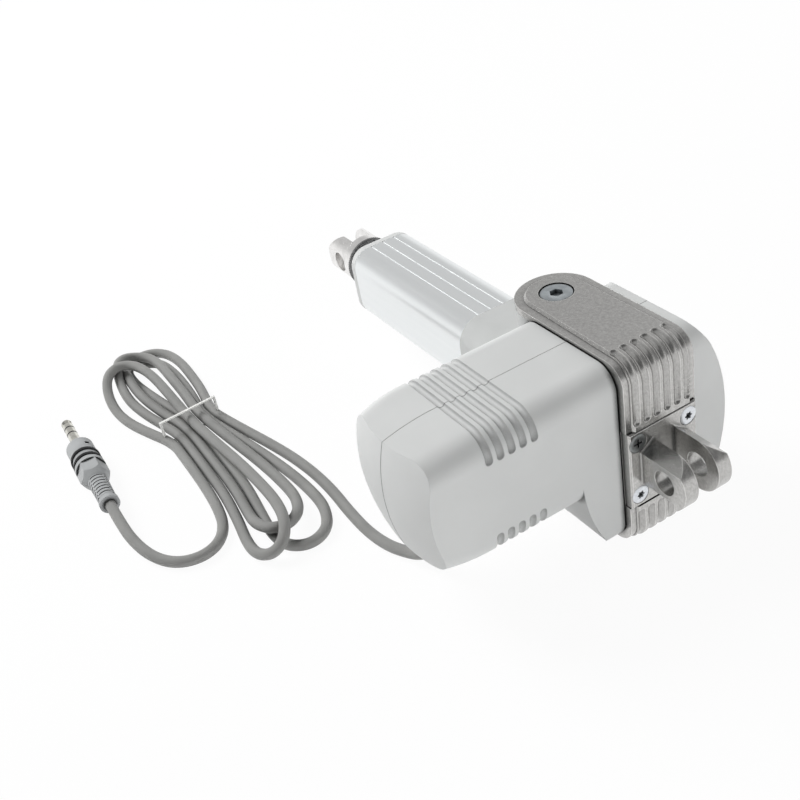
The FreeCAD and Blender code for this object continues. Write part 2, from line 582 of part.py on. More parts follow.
front_x, neck_x = number(HOUSING_FRONT), number("neck_end")
neck_sections = [square_section(front_x, *neck_rear), square_section(neck_x, *neck_front)]
neck = coded("neck", Part.makeLoft(neck_sections, True, True))
strap_boss = bar_z("strap_boss", f"{HALF_STRAP} - boss_gap", (SLOT_BOTTOM, SLOT_TOP), "strap_screw_x")
bearing_block = block("bearing_block", (FRAME_FRONT, f"{HOUSING_FRONT} + {PAST}"),
                      ("-bearing_block_side", "bearing_block_side"),
                      ("-bearing_block_height", "bearing_block_height"))
nose_form = fuse("nose_form", neck, strap_boss, bearing_block)
front_bearing_x = (f"{FRAME_FRONT} + bearing_inset", f"{FRAME_FRONT} + bearing_inset + bearing_width")
nose_bores = [
    bar_x("front_bearing_seat", "bearing_radius + seat_fit", (f"{FRAME_FRONT} - {PAST}", front_bearing_x[1])),
    bar_x("spindle_passage", "bearing_shoulder", (FRAME_FRONT, "nut_start")),
    bar_x("nut_chamber", "nut_radius + nut_bore_room",
          ("nut_start - nut_end_room", f"socket_start + {PAST}")),
    rounded_block("tube_socket", ("socket_start", FAR), ("-tube_side - tube_fit", "tube_side + tube_fit"),
                  ("-tube_height - tube_fit", "tube_height + tube_fit"), "tube_corner", Vector(1, 0, 0))]
keep(cut("nose_block_cut", nose_form, *nose_bores, *cap_screw_seats), "nose_block")
nose_opening = fuse(
    "nose_opening",
    bar_z("boss_opening", HALF_STRAP, ("2 * strap_bottom", "2 * strap_top"), "strap_screw_x"),
    block("block_opening", (FRAME_FRONT, f"{HOUSING_FRONT} + {PAST}"),
          ("-bearing_block_side - boss_gap", "bearing_block_side + boss_gap"),
          ("-bearing_block_height - boss_gap", "bearing_block_height + boss_gap")))
gland_hole = bar_z("gland_hole", "gland_neck + screw_clearance",
                   (f"motor_bottom - {PAST}", "motor_bottom + 2 * shell_wall"), "gland_x", "gland_y")
skin_with_bosses = fuse("skin_with_bosses", housing_skin, common("boss_stubs", fuse("boss_bars", *boss_bars),
                                                               housing_form))
shell_whole = cut("shell_whole", skin_with_bosses, nose_opening, gland_hole, screw_passage,
                  *shell_screw_holes)
half_limits = ((f"-{FAR}", FAR), (f"-{FAR}", FAR))
rear_side = block("rear_side", ("0", GEAR_AXIS_X), *half_limits)
front_side = block("front_side", (GEAR_AXIS_X, FAR), *half_limits)
keep(common("rear_shell_half", shell_whole, rear_side), "rear_shell")
keep(common("front_shell_half", shell_whole, front_side), "front_shell")
keep(fuse("housing_screws_set", *shell_screws), "housing_screws")

# Outer tube: extruded profile with three fine grooves along its top and its underside.
tube_form = rounded_block("tube_form", ("socket_start", "tube_end"), ("-tube_side", "tube_side"),
                          ("-tube_height", "tube_height"), "tube_corner", Vector(1, 0, 0))
tube_hollow = rounded_block(
    "tube_hollow", (f"socket_start - {PAST}", f"tube_end + {PAST}"),
    ("tube_wall - tube_side", "tube_side - tube_wall"),
    ("tube_wall - tube_height", "tube_height - tube_wall"), "tube_corner - tube_wall", Vector(1, 0, 0))
tube_grooves = [bar_x(f"tube_groove_{index}_{tag}", "tube_groove_radius", ("0", FAR),
                      f"{index} * tube_groove_pitch", face)
                for tag, face in (("top", "tube_height"), ("bottom", "-tube_height")) for index in (-1, 0, 1)]
keep(cut("outer_tube_cut", tube_form, tube_hollow, *tube_grooves), "outer_tube")

# Front cap with its wiper, and the guide bush behind it.
cap_block = rounded_block("cap_block", ("tube_end", CAP_FRONT), ("-tube_side", "tube_side"),
                          ("-tube_height", "tube_height"), "tube_corner", Vector(1, 0, 0))


def at_cap_front(edge):
    return edge.BoundBox.XMin > number(CAP_FRONT) - TOLERANCE


cap_form = rounded("cap_form", cap_block, "cap_edge", at_cap_front)
wiper_x = ("tube_end + wiper_inset", "tube_end + wiper_inset + wiper_width")
cap_bores = [bar_x("cap_bore", "rod_radius + cap_clearance", (f"tube_end - {PAST}", f"{CAP_FRONT} + {PAST}")),
             bar_x("wiper_groove", "wiper_radius", wiper_x)]
keep(cut("front_cap_cut", cap_form, *cap_bores), "front_cap")
keep(sleeve("rod_wiper_ring", "rod_radius + running_fit", "wiper_radius - seat_fit", wiper_x), "rod_wiper")
guide_form = rounded_block(
    "guide_form", ("tube_end - guide_length", "tube_end"),
    ("tube_wall + tube_fit - tube_side", "tube_side - tube_wall - tube_fit"),
    ("tube_wall + tube_fit - tube_height", "tube_height - tube_wall - tube_fit"), "tube_corner - tube_wall",
    Vector(1, 0, 0))
strip_z = ("tube_wall - tube_height", "tube_wall + strip_thickness - tube_height")
strip_y = ("-strip_width / 2", "strip_width / 2")
guide_bore = bar_x("guide_bore", "rod_radius + running_fit", ("0", FAR))
keep(cut("rod_guide_cut", guide_form, guide_bore), "rod_guide")

# Limit switch strip along the floor of the tube, with a flat switch at each end of the stroke.
strip_end = "tube_end - guide_length"
keep(block("limit_strip_board", ("strip_start", strip_end), strip_y, strip_z), "limit_strip")
switch_z = (strip_z[1], f"{strip_z[1]} + switch_height")
switches = [block("switch_rear", ("strip_start + switch_inset", "strip_start + switch_inset + switch_length"),
                  strip_y, switch_z),
            block("switch_front",
                  (f"{strip_end} - switch_inset - switch_length", f"{strip_end} - switch_inset"),
                  strip_y, switch_z)]
keep(fuse("limit_switch_set", *switches), "limit_switches")

# Spindle with its worm wheel between two bearings in the gear frame and the nose block.
rear_bearing_x = (f"{FRAME_REAR} + bearing_inset", f"{FRAME_REAR} + bearing_inset + bearing_width")
keep(turned("spindle_screw", [("spindle_start", "0"), ("spindle_start", "spindle_radius"),
                              ("spindle_end - spindle_chamfer", "spindle_radius"),
                              ("spindle_end", "spindle_radius - spindle_chamfer"),
                              ("spindle_end", "0")]), "spindle")
wheel_x = (f"{GEAR_AXIS_X} - wheel_width / 2", f"{GEAR_AXIS_X} + wheel_width / 2")
wheel_blank = turned("wheel_blank", [
    (wheel_x[0], "spindle_radius"), (wheel_x[1], "spindle_radius"), (wheel_x[1], "wheel_radius"),
    (wheel_x[0], "wheel_radius")])
tooth_gaps = []
for index in range(int(number("wheel_teeth"))):
    turn = f"{index} * 360 / wheel_teeth"
    tooth_gaps.append(bar_x(f"tooth_gap_{index}", "tooth_radius", (f"{GEAR_AXIS_X} - wheel_width",
                                                                  f"{GEAR_AXIS_X} + wheel_width"),
                            f"wheel_radius * cos({turn} * 1deg)", f"wheel_radius * sin({turn} * 1deg)"))
keep(cut("worm_wheel_cut", wheel_blank, *tooth_gaps), "worm_wheel")
bearing_bore = "spindle_radius + running_fit"
keep(fuse("spindle_bearing_set", sleeve("rear_bearing", bearing_bore, "bearing_radius", rear_bearing_x),
          sleeve("front_bearing", bearing_bore, "bearing_radius", front_bearing_x)), "spindle_bearings")

# Gear frame: rear bearing plate, two rails to the nose block and two lugs for the worm.
side_out, side_in = "bearing_block_side", "bearing_block_side - frame_rail"
rail_z = ("-frame_rail_height", "frame_rail_height")
lug_x = (f"{GEAR_AXIS_X} - frame_lug_width / 2", f"{GEAR_AXIS_X} + frame_lug_width / 2")
frame_pieces = [block("frame_rear_plate", (FRAME_REAR, f"{FRAME_REAR} + frame_plate"),
                      (f"-{side_out}", side_out), ("-bearing_block_height", "bearing_block_height"))]
for tag, sign in (("left", 1), ("right", -1)):
    rail_y = sorted_pair(f"{sign} * ({side_in})", f"{sign} * ({side_out})")
    frame_pieces.append(block(f"frame_rail_{tag}", (FRAME_REAR, FRAME_FRONT), rail_y, rail_z))
    frame_pieces.append(block(f"frame_lug_{tag}", lug_x, rail_y, ("0", "frame_lug_top")))
frame_bores = [
    bar_x("rear_bearing_seat", "bearing_radius + seat_fit", rear_bearing_x),
    bar_x("rear_bearing_relief", "bearing_shoulder", ("0", GEAR_AXIS_X)),
    bar_x("rear_bearing_mouth", "bearing_radius + seat_fit",
          (rear_bearing_x[1], f"{FRAME_REAR} + frame_plate + {PAST}")),
    bar_y("worm_bore", "bush_radius + seat_fit", (f"-{side_out} - {PAST}", f"{side_out} + {PAST}"),
          GEAR_AXIS_X, WORM_AXIS_Z),
    screw_passage]
keep(cut("gear_frame_cut", fuse("gear_frame_form", *frame_pieces), *frame_bores), "gear_frame")

# Drive nut and telescopic rod, with the lock ring and the forked eye at its end.
nut_x = ("nut_start", "nut_start + nut_length")
keep(sleeve("drive_nut_ring", "spindle_radius + running_fit", "nut_radius", nut_x), "drive_nut")
rod_x = (nut_x[1], EYE_REAR)
keep(turned("piston_rod_tube", [
    (rod_x[0], "rod_bore"), (f"{EYE_REAR} - rod_plug", "rod_bore"), (f"{EYE_REAR} - rod_plug", "0"),
    (rod_x[1], "0"), (rod_x[1], "rod_radius"), (rod_x[0], "rod_radius")]), "piston_rod")
keep(sleeve("lock_ring_band", "rod_radius", "lock_ring_radius", (f"{EYE_REAR} - lock_ring_width", EYE_REAR)),
     "rod_lock_ring")
eye_end = "eye_hole_x + eye_end_radius"
eye_form = common("eye_form", bar_x("eye_bar", "eye_radius", (EYE_REAR, f"{eye_end} + {PAST}")), fuse(
    "eye_profile", bar_y("eye_round", "eye_end_radius", ("-eye_flats / 2", "eye_flats / 2"), "eye_hole_x"),
    block("eye_head", (f"{EYE_REAR} + eye_slot_depth", "eye_hole_x"), ("-eye_flats / 2", "eye_flats / 2"),
          ("-eye_radius", "eye_radius")),
    block("eye_collar", (EYE_REAR, f"{EYE_REAR} + eye_slot_depth"), ("-eye_radius", "eye_radius"),
          ("-eye_radius", "eye_radius"))))
eye_bores = [bar_y("eye_bore", "eye_hole / 2", ("-2 * eye_radius", "2 * eye_radius"), "eye_hole_x"),
             block("eye_fork", (f"{EYE_REAR} + eye_slot_depth", f"{eye_end} + {PAST}"),
                   ("-eye_slot / 2", "eye_slot / 2"), ("-2 * eye_radius", "2 * eye_radius"))]
keep(cut("rod_eye_cut", eye_form, *eye_bores), "rod_eye")

# Motor along +Y: steel can with end plate, cap, magnets and brushes; armature on the worm shaft.
barrel_room = f"min(housing_depth / 2; housing_top - {WORM_AXIS_Z}; {WORM_AXIS_Z} - motor_bottom)"
can_radius = f"({barrel_room} - shell_wall - can_room)"
axis = (GEAR_AXIS_X, "0", WORM_AXIS_Z)
magnet_outer = f"{can_radius} - can_wall"
magnet_inner = f"{magnet_outer} - magnet_thickness"
armature_radius = f"{magnet_inner} - air_gap"
shaft_bore = "shaft_radius + running_fit"
can_end = f"{end_boss_y} - boss_radius - can_end_room - end_cap_depth"
keep(sleeve("motor_can_tube", magnet_outer, can_radius, ("can_start", can_end), axis, X_TO_Y), "motor_can")
plate_y = ("bearing_block_side", "can_start")
plate_bore = "bush_radius + front_plate_room"
keep(sleeve("motor_front_plate_disc", plate_bore, can_radius, plate_y, axis, X_TO_Y), "motor_front_plate")
cap_end = f"{can_end} + end_cap_depth"
rear_seat_y = (can_end, f"{can_end} + motor_bearing_width")
keep(turned("motor_end_cap_disc", [
    (rear_seat_y[0], "motor_bearing_radius"), (rear_seat_y[1], "motor_bearing_radius"), (rear_seat_y[1], "0"),
    (cap_end, "0"), (cap_end, f"{can_radius} - end_cap_chamfer"),
    (f"{cap_end} - end_cap_chamfer", can_radius), (can_end, can_radius)], axis, X_TO_Y), "motor_end_cap")
front_bearing_y = ("can_start", "can_start + motor_bearing_width")
carrier = sleeve("bearing_carrier_ring", "motor_bearing_radius", magnet_outer, front_bearing_y, axis, X_TO_Y)
keep(carrier, "bearing_carrier")
motor_rings = [sleeve(f"motor_bearing_{tag}", shaft_bore, "motor_bearing_radius", along, axis, X_TO_Y)
               for tag, along in (("front", front_bearing_y), ("rear", rear_seat_y))]
keep(fuse("motor_bearing_set", *motor_rings), "motor_bearings")
commutator_end = f"{can_end} - commutator_back"
commutator_y = (f"{commutator_end} - commutator_length", commutator_end)
magnet_y = ("can_start + magnet_inset", f"{commutator_y[0]} - winding_room")
magnet_ring = sleeve("magnet_ring", magnet_inner, magnet_outer, magnet_y, axis, X_TO_Y)
half_gap = f"{can_radius} * sin(magnet_gap_angle * 1deg)"
pole_gap = block("pole_gap", (f"{GEAR_AXIS_X} - {half_gap}", f"{GEAR_AXIS_X} + {half_gap}"), magnet_y,
                 (f"{WORM_AXIS_Z} - {can_radius}", f"{WORM_AXIS_Z} + {can_radius}"))
keep(cut("motor_magnet_arcs", magnet_ring, pole_gap), "motor_magnets")


def grooved_rotor(name, radius, along, grooves, groove_radius):
    """Ring on the motor shaft with round grooves along its rim, evenly spaced."""
    cutters = []
    for index in range(int(number(grooves))):
        turn = f"{index} * 360 / {grooves}"
        cutters.append(bar_y(f"{name}_groove_{index}", groove_radius,
                             (f"{along[0]} - {PAST}", f"{along[1]} + {PAST}"),
                             f"{GEAR_AXIS_X} + ({radius}) * cos({turn} * 1deg)",
                             f"{WORM_AXIS_Z} + ({radius}) * sin({turn} * 1deg)"))
    return cut(name, sleeve(name + "_ring", "shaft_radius", radius, along, axis, X_TO_Y), *cutters)


keep(grooved_rotor("armature_stack", armature_radius, magnet_y, "armature_slots", "armature_slot_radius"),
     "motor_armature")
keep(grooved_rotor("commutator_ring", "commutator_radius", commutator_y, "commutator_bars",
                   "bar_gap_radius"), "commutator")
brush_from = "commutator_radius + brush_gap"
brush_mid = f"{commutator_end} - commutator_length / 2"
brush_x = (f"{GEAR_AXIS_X} - brush_width / 2", f"{GEAR_AXIS_X} + brush_width / 2")
brush_y = (f"{brush_mid} - brush_width / 2", f"{brush_mid} + brush_width / 2")
brushes = []
for tag, sign in (("upper", 1), ("lower", -1)):
    z = sorted_pair(f"{WORM_AXIS_Z} + {sign} * ({brush_from})",
                    f"{WORM_AXIS_Z} + {sign} * sqrt(({magnet_outer}) ^ 2 - (brush_width / 2) ^ 2)")
    brushes.append(block(f"brush_{tag}", brush_x, brush_y, z))
keep(fuse("motor_brush_set", *brushes), "motor_brushes")
half_worm = "worm_length / 2"
shaft_end = f"{rear_seat_y[1]} - shaft_end_gap"
keep(turned("worm_shaft_bar", [
    ("shaft_tail", "0"), ("shaft_tail", "shaft_radius"), (f"-{half_worm}", "shaft_radius"),
    (f"-{half_worm}", "worm_radius"), (half_worm, "worm_radius"), (half_worm, "shaft_radius"),
    (shaft_end, "shaft_radius"), (shaft_end, "0")], axis, X_TO_Y), "worm_shaft")
bush_y = [sorted_pair(f"{sign} * ({side_in})", f"{sign} * ({side_out})") for sign in (1, -1)]
keep(fuse("worm_bush_set", sleeve("worm_bush_left", shaft_bore, "bush_radius", bush_y[0], axis, X_TO_Y),
          sleeve("worm_bush_right", shaft_bore, "bush_radius", bush_y[1], axis, X_TO_Y)), "worm_bushes")

# Cable gland under the motor barrel's end: a flanged bush in the front shell.
gland_low = "motor_bottom - gland_drop"
keep(turned("cable_gland_bush", [
    (gland_low, "0"), (gland_low, "gland_radius - gland_taper"), ("motor_bottom - gland_rim", "gland_radius"),
    ("motor_bottom", "gland_radius"), ("motor_bottom", "gland_neck"),
    ("motor_bottom + shell_wall", "gland_neck"), ("motor_bottom + shell_wall", "0")],
    ("gland_x", "gland_y", "0"), X_TO_Z), "cable_gland")

# Hank: outer shape of the tied turns, lying on the floor, a wide loop at each end and a tied waist.
HANK_LEFT, HANK_RIGHT, HANK_WAIST = Vector(325, 148, 0), Vector(152, 138, 0), Vector(262, 143.5, 0)
LEFT_HALF, RIGHT_HALF, WAIST_HALF = 27.0, 23.5, 17.0
LEFT_TIP, RIGHT_TIP = 41.0, 36.0
along = (HANK_LEFT - HANK_RIGHT).normalize()
across = Vector(-along.y, along.x, 0)
left_upper, left_lower = HANK_LEFT + across * LEFT_HALF, HANK_LEFT - across * LEFT_HALF
right_upper, right_lower = HANK_RIGHT + across * RIGHT_HALF, HANK_RIGHT - across * RIGHT_HALF
hank_edges = [
    Part.Arc(left_upper, HANK_LEFT + along * LEFT_TIP, left_lower),
    Part.Arc(left_lower, HANK_WAIST - across * WAIST_HALF, right_lower),
    Part.Arc(right_lower, HANK_RIGHT - along * RIGHT_TIP, right_upper),
    Part.Arc(right_upper, HANK_WAIST + across * WAIST_HALF, left_upper)]
hank_face = Part.Face(Part.Wire([edge.toShape() for edge in hank_edges]))
hank_face.translate(Vector(0, 0, number("hank_bottom")))
hank_shape = hank_face.extrude(Vector(0, 0, number("hank_height")))
keep(coded("hank", hank_shape), "cord_hank")

# Wire tie round the hank's waist.
tie_wire, hank_height = number("tie_wire"), number("hank_height")
tie_half = WAIST_HALF + 1.5 * tie_wire
tie_shape = Part.makeBox(2 * tie_wire, 2 * tie_half, hank_height + 2 * tie_wire)
tie_shape.translate(Vector(-tie_wire, -tie_half, -tie_wire))
tie_shape.rotate(Vector(), Vector(0, 0, 1), math.degrees(math.atan2(along.y, along.x)))
tie_shape.translate(HANK_WAIST + Vector(0, 0, number("hank_bottom")))
keep(coded("tie", tie_shape.cut(hank_shape)), "cord_tie")


# Share of the shorter run beside a corner that its arc takes up.
TRIM_SHARE = 0.45


def cord_tube(points):
    """Tube along straight runs joined by tangent arcs, each as large as its two runs allow."""
    radius = number("cord_radius")
    spots = [Vector(*point) for point in points]
    edges = []
    start = spots[0]
    for before, corner, after in zip(spots, spots[1:], spots[2:]):
        back, ahead = before - corner, after - corner
        turn = math.pi - back.getAngle(ahead)
        trim = TRIM_SHARE * min(back.Length, ahead.Length)
        bend = trim / math.tan(turn / 2)
        print(f"cord bend {bend:.1f} mm, turn {math.degrees(turn):.0f} degrees")
        first, last = corner + back.normalize() * trim, corner + ahead.normalize() * trim
        middle_way = (back + ahead).normalize()
        middle = corner + middle_way * (bend / math.cos(turn / 2) - bend)
        edges.append(Part.LineSegment(start, first).toShape())
        edges.append(Part.Arc(first, middle, last).toShape())
        start = last
    edges.append(Part.LineSegment(start, spots[-1]).toShape())
    path = Part.Wire(edges)
    length = path.Length
    disc = Part.Wire(Part.Circle(spots[0], spots[1] - spots[0], radius).toShape())
    tube = path.makePipeShell([disc], True, False)
    print(f"cord length {length:.1f} mm, volume ratio {tube.Volume / (math.pi * radius ** 2 * length):.4f}")
    return tube


def largest(shape):
    return max(shape.Solids, key=lambda solid: solid.Volume)


# Cord: the lead from the gland to the hank, and the tail from the hank to the plug.
gland_exit = (number("gland_x"), number("gland_y"), number(gland_low))
LEAD = [(66, 96, -22), (66.8, 96.8, -28.5), (69.5, 98.6, -35), (74.6, 101, -39.9), (82.5, 103.8, -42.5),
        (94, 107.4, -43), (110, 110.8, -43), (130, 112.2, -43), (151, 111.2, -43), (171, 110.8, -43),
        (190, 113, -43), (207, 117, -42.6), (222, 122, -41.6), (235, 127.6, -40.6)]
TAIL = [(212.5, 153.4, -41), (198, 155.4, -42), (183, 158.2, -43), (168, 163, -43), (157.6, 171.6, -43),
        (154.2, 184, -43), (158.6, 197, -43), (169.6, 206, -42.4), (185.6, 209.9, -40), (203.7, 210, -37.2)]
plug_spot = (number("plug_x"), number("plug_y"), number("plug_z"))
keep(coded("lead", largest(cord_tube([gland_exit] + LEAD).cut(hank_shape))), "cord_lead")
keep(coded("tail", largest(cord_tube(TAIL + [plug_spot]).cut(hank_shape))), "cord_tail")

# Jack plug lying beside the hank: boot, six-sided grip, collar with two sealing rings, and a banded pin.
plug_turn = Rotation(Vector(0, 0, 1), number("plug_turn"))
plug_at = ("plug_x", "plug_y", "plug_z")
grip_x = "boot_length + grip_length"
collar_x = f"{grip_x} + flange_length"
collar_end = f"{grip_x} + collar_length"
pin_end = f"{collar_end} + pin_length"
boot_cone = turned("plug_boot_cone", [
    ("0", "0"), ("0", "boot_tip_radius"), ("boot_rim", "boot_tip_radius"),
    ("boot_rim + boot_rim_step", "boot_tip_radius - boot_rim_step"),
    ("boot_neck", "boot_neck_radius"), ("boot_length", "boot_root_radius"), ("boot_length", "0")],
    plug_at, plug_turn)


def plug_block(name, x, y, z):
    """Box in the plug's own frame, x along its axis."""
    item = block(name, x, y, z)
    place(item, (f"plug_x + ({x[0]}) * cos(plug_turn * 1deg) - ({y[0]}) * sin(plug_turn * 1deg)",
                 f"plug_y + ({x[0]}) * sin(plug_turn * 1deg) + ({y[0]}) * cos(plug_turn * 1deg)",
                 f"plug_z + {z[0]}"), plug_turn)
    return item


# The boot bends at rows of slots, two to a row, each row turned a quarter from the last.
boot_slots = []
slot_along = ("-boot_slot_half", "boot_slot_half")
for row in range(int(number("boot_slot_rows"))):
    row_x = f"boot_slot_start + {row} * boot_slot_pitch"
    slot_x = (row_x, f"{row_x} + boot_slot_width")
    for tag, outwards in (("far", ("boot_slot_root", "2 * boot_root_radius")),
                          ("near", ("-2 * boot_root_radius", "-boot_slot_root"))):
        sides = (slot_along, outwards) if row % 2 else (outwards, slot_along)
        boot_slots.append(plug_block(f"boot_slot_{row}_{tag}", slot_x, *sides))
keep(cut("plug_boot_cut", boot_cone, *boot_slots), "plug_boot")
hexagon = [(f"grip_radius * cos({60 * side} * 1deg)", f"grip_radius * sin({60 * side} * 1deg)")
           for side in range(6)]
grip = doc.addObject("PartDesign::Body", "plug_grip_body")
grip_pad = grip.newObject("PartDesign::Pad", "plug_grip_pad")
grip_pad.Profile = outline(grip, "plug_grip_outline", "YZ_Plane", hexagon)
grip_pad.setExpression("Length", bound("grip_length"))
grip.Tip = grip_pad
place(grip, ("plug_x + boot_length * cos(plug_turn * 1deg)", "plug_y + boot_length * sin(plug_turn * 1deg)",
             "plug_z"), plug_turn)
grip_bevel = turned("plug_grip_bevel", [
    ("boot_length", "0"), ("boot_length", "boot_root_radius"), ("boot_length + grip_bevel", "grip_radius"),
    (grip_x, "grip_radius"), (grip_x, "0")], plug_at, plug_turn)
keep(common("plug_grip_nut", grip, grip_bevel), "plug_grip")
ring_x = [f"{collar_x} + ring_inset", f"{collar_x} + ring_inset + ring_pitch"]
collar_profile = [(grip_x, "0"), (grip_x, "flange_radius"), (collar_x, "flange_radius"),
                  (collar_x, "collar_radius")]
for start in ring_x:
    stop = f"{start} + ring_width"
    collar_profile += [(start, "collar_radius"), (start, "ring_groove_radius"), (stop, "ring_groove_radius"),
                       (stop, "collar_radius")]
collar_profile += [(f"{collar_end} - collar_chamfer", "collar_radius"),
                   (collar_end, "collar_radius - collar_chamfer"), (collar_end, "0")]
key_front = f"{collar_end} - key_back"
key_notch = plug_block("plug_key_notch", (f"{key_front} - key_length", key_front),
                       ("key_side", "key_side + key_width"), ("key_floor", "2 * collar_radius"))
collar = turned("plug_collar", collar_profile, plug_at, plug_turn)
keep(cut("plug_body_cut", collar, key_notch), "plug_body")
rings = [sleeve(f"plug_ring_{index}", "ring_groove_radius", "ring_radius", (start, f"{start} + ring_width"),
                plug_at, plug_turn) for index, start in enumerate(ring_x)]
keep(fuse("plug_ring_set", *rings), "plug_seals")
band_x = [f"{pin_end} - ring_contact_back", f"{pin_end} - tip_back"]
pin_profile = [(collar_end, "0"), (collar_end, "pin_radius")]
for start in band_x:
    stop = f"{start} + pin_band"
    pin_profile += [(start, "pin_radius"), (start, "pin_core"), (stop, "pin_core"), (stop, "pin_radius")]
pin_profile += [
    (f"{pin_end} - tip_shoulder_back", "pin_radius"), (f"{pin_end} - tip_neck_back", "pin_core"),
    (f"{pin_end} - tip_bulb_back", "pin_radius"), (f"{pin_end} - tip_nose_back", "tip_nose_radius"),
    (pin_end, "tip_end_radius"), (pin_end, "0")]
keep(turned("plug_pin_bar", pin_profile, plug_at, plug_turn), "plug_pin")
bands = [sleeve(f"pin_band_{index}", "pin_core", "pin_radius", (start, f"{start} + pin_band"),
                plug_at, plug_turn) for index, start in enumerate(band_x)]
keep(fuse("pin_band_set", *bands), "pin_insulators")

doc.recompute()
failed = [item.Name for item in doc.Objects if {"Invalid", "Error"} & set(item.State)]
if failed:
    raise RuntimeError("failed objects: " + ", ".join(failed))
os.makedirs("parts", exist_ok=True)
for node in NODES:
    if node.Shape.isNull() or not node.Shape.isValid() or not node.Shape.Solids:
        raise RuntimeError("bad shape: " + node.Label)
for node in NODES:
    node.Shape.exportStep(f"parts/{node.Label}.step")
    print(f"{node.Label}: {len(node.Shape.Solids)} solids, {node.Shape.Volume:.0f} mm3")
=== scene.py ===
"""An electric linear actuator with its looped lead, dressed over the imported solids."""
import math

import bmesh
import bpy
from mathutils import Matrix, Vector


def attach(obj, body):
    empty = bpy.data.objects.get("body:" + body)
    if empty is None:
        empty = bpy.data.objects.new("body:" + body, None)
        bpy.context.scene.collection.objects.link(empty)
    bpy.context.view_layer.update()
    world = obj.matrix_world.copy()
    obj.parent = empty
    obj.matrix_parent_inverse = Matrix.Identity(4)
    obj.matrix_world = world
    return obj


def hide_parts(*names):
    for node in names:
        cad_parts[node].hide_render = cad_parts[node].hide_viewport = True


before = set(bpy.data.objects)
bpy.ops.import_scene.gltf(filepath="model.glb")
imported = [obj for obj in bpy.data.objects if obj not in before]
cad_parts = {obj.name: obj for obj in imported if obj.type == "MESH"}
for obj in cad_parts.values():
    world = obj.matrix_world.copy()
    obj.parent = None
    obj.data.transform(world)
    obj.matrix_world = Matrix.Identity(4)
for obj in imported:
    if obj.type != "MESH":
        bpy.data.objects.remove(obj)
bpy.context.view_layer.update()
scene = bpy.context.scene
scene.view_settings.view_transform = "Standard"


# Rear clevis: a zinc die casting with two drilled ears on a square foot. It is tumbled
# and left bare, so it shows a fine warm grey speckle. Its edges are brighter, partly rubbed
# and partly a painted highlight, and painted shade darkens its hollows.
MM = 0.001
CLOUD_ENDS = (0.32, 0.68)
GRAIN_ENDS = (0.34, 0.66)
FLAT_OPENING = 0.97


def wire(tree, source, target):
    """Joins a node's output socket to another node's input socket."""
    tree.links.new(source, target)


def ranged(tree, source, low, high, start=0.0, end=1.0):
    """A value that runs from start to end while the source runs from low to high."""
    node = tree.nodes.new("ShaderNodeMapRange")
    for label, value in zip(("From Min", "From Max", "To Min", "To Max"), (low, high, start, end)):
        node.inputs[label].default_value = value
    wire(tree, source, node.inputs["Value"])
    return node.outputs["Result"]


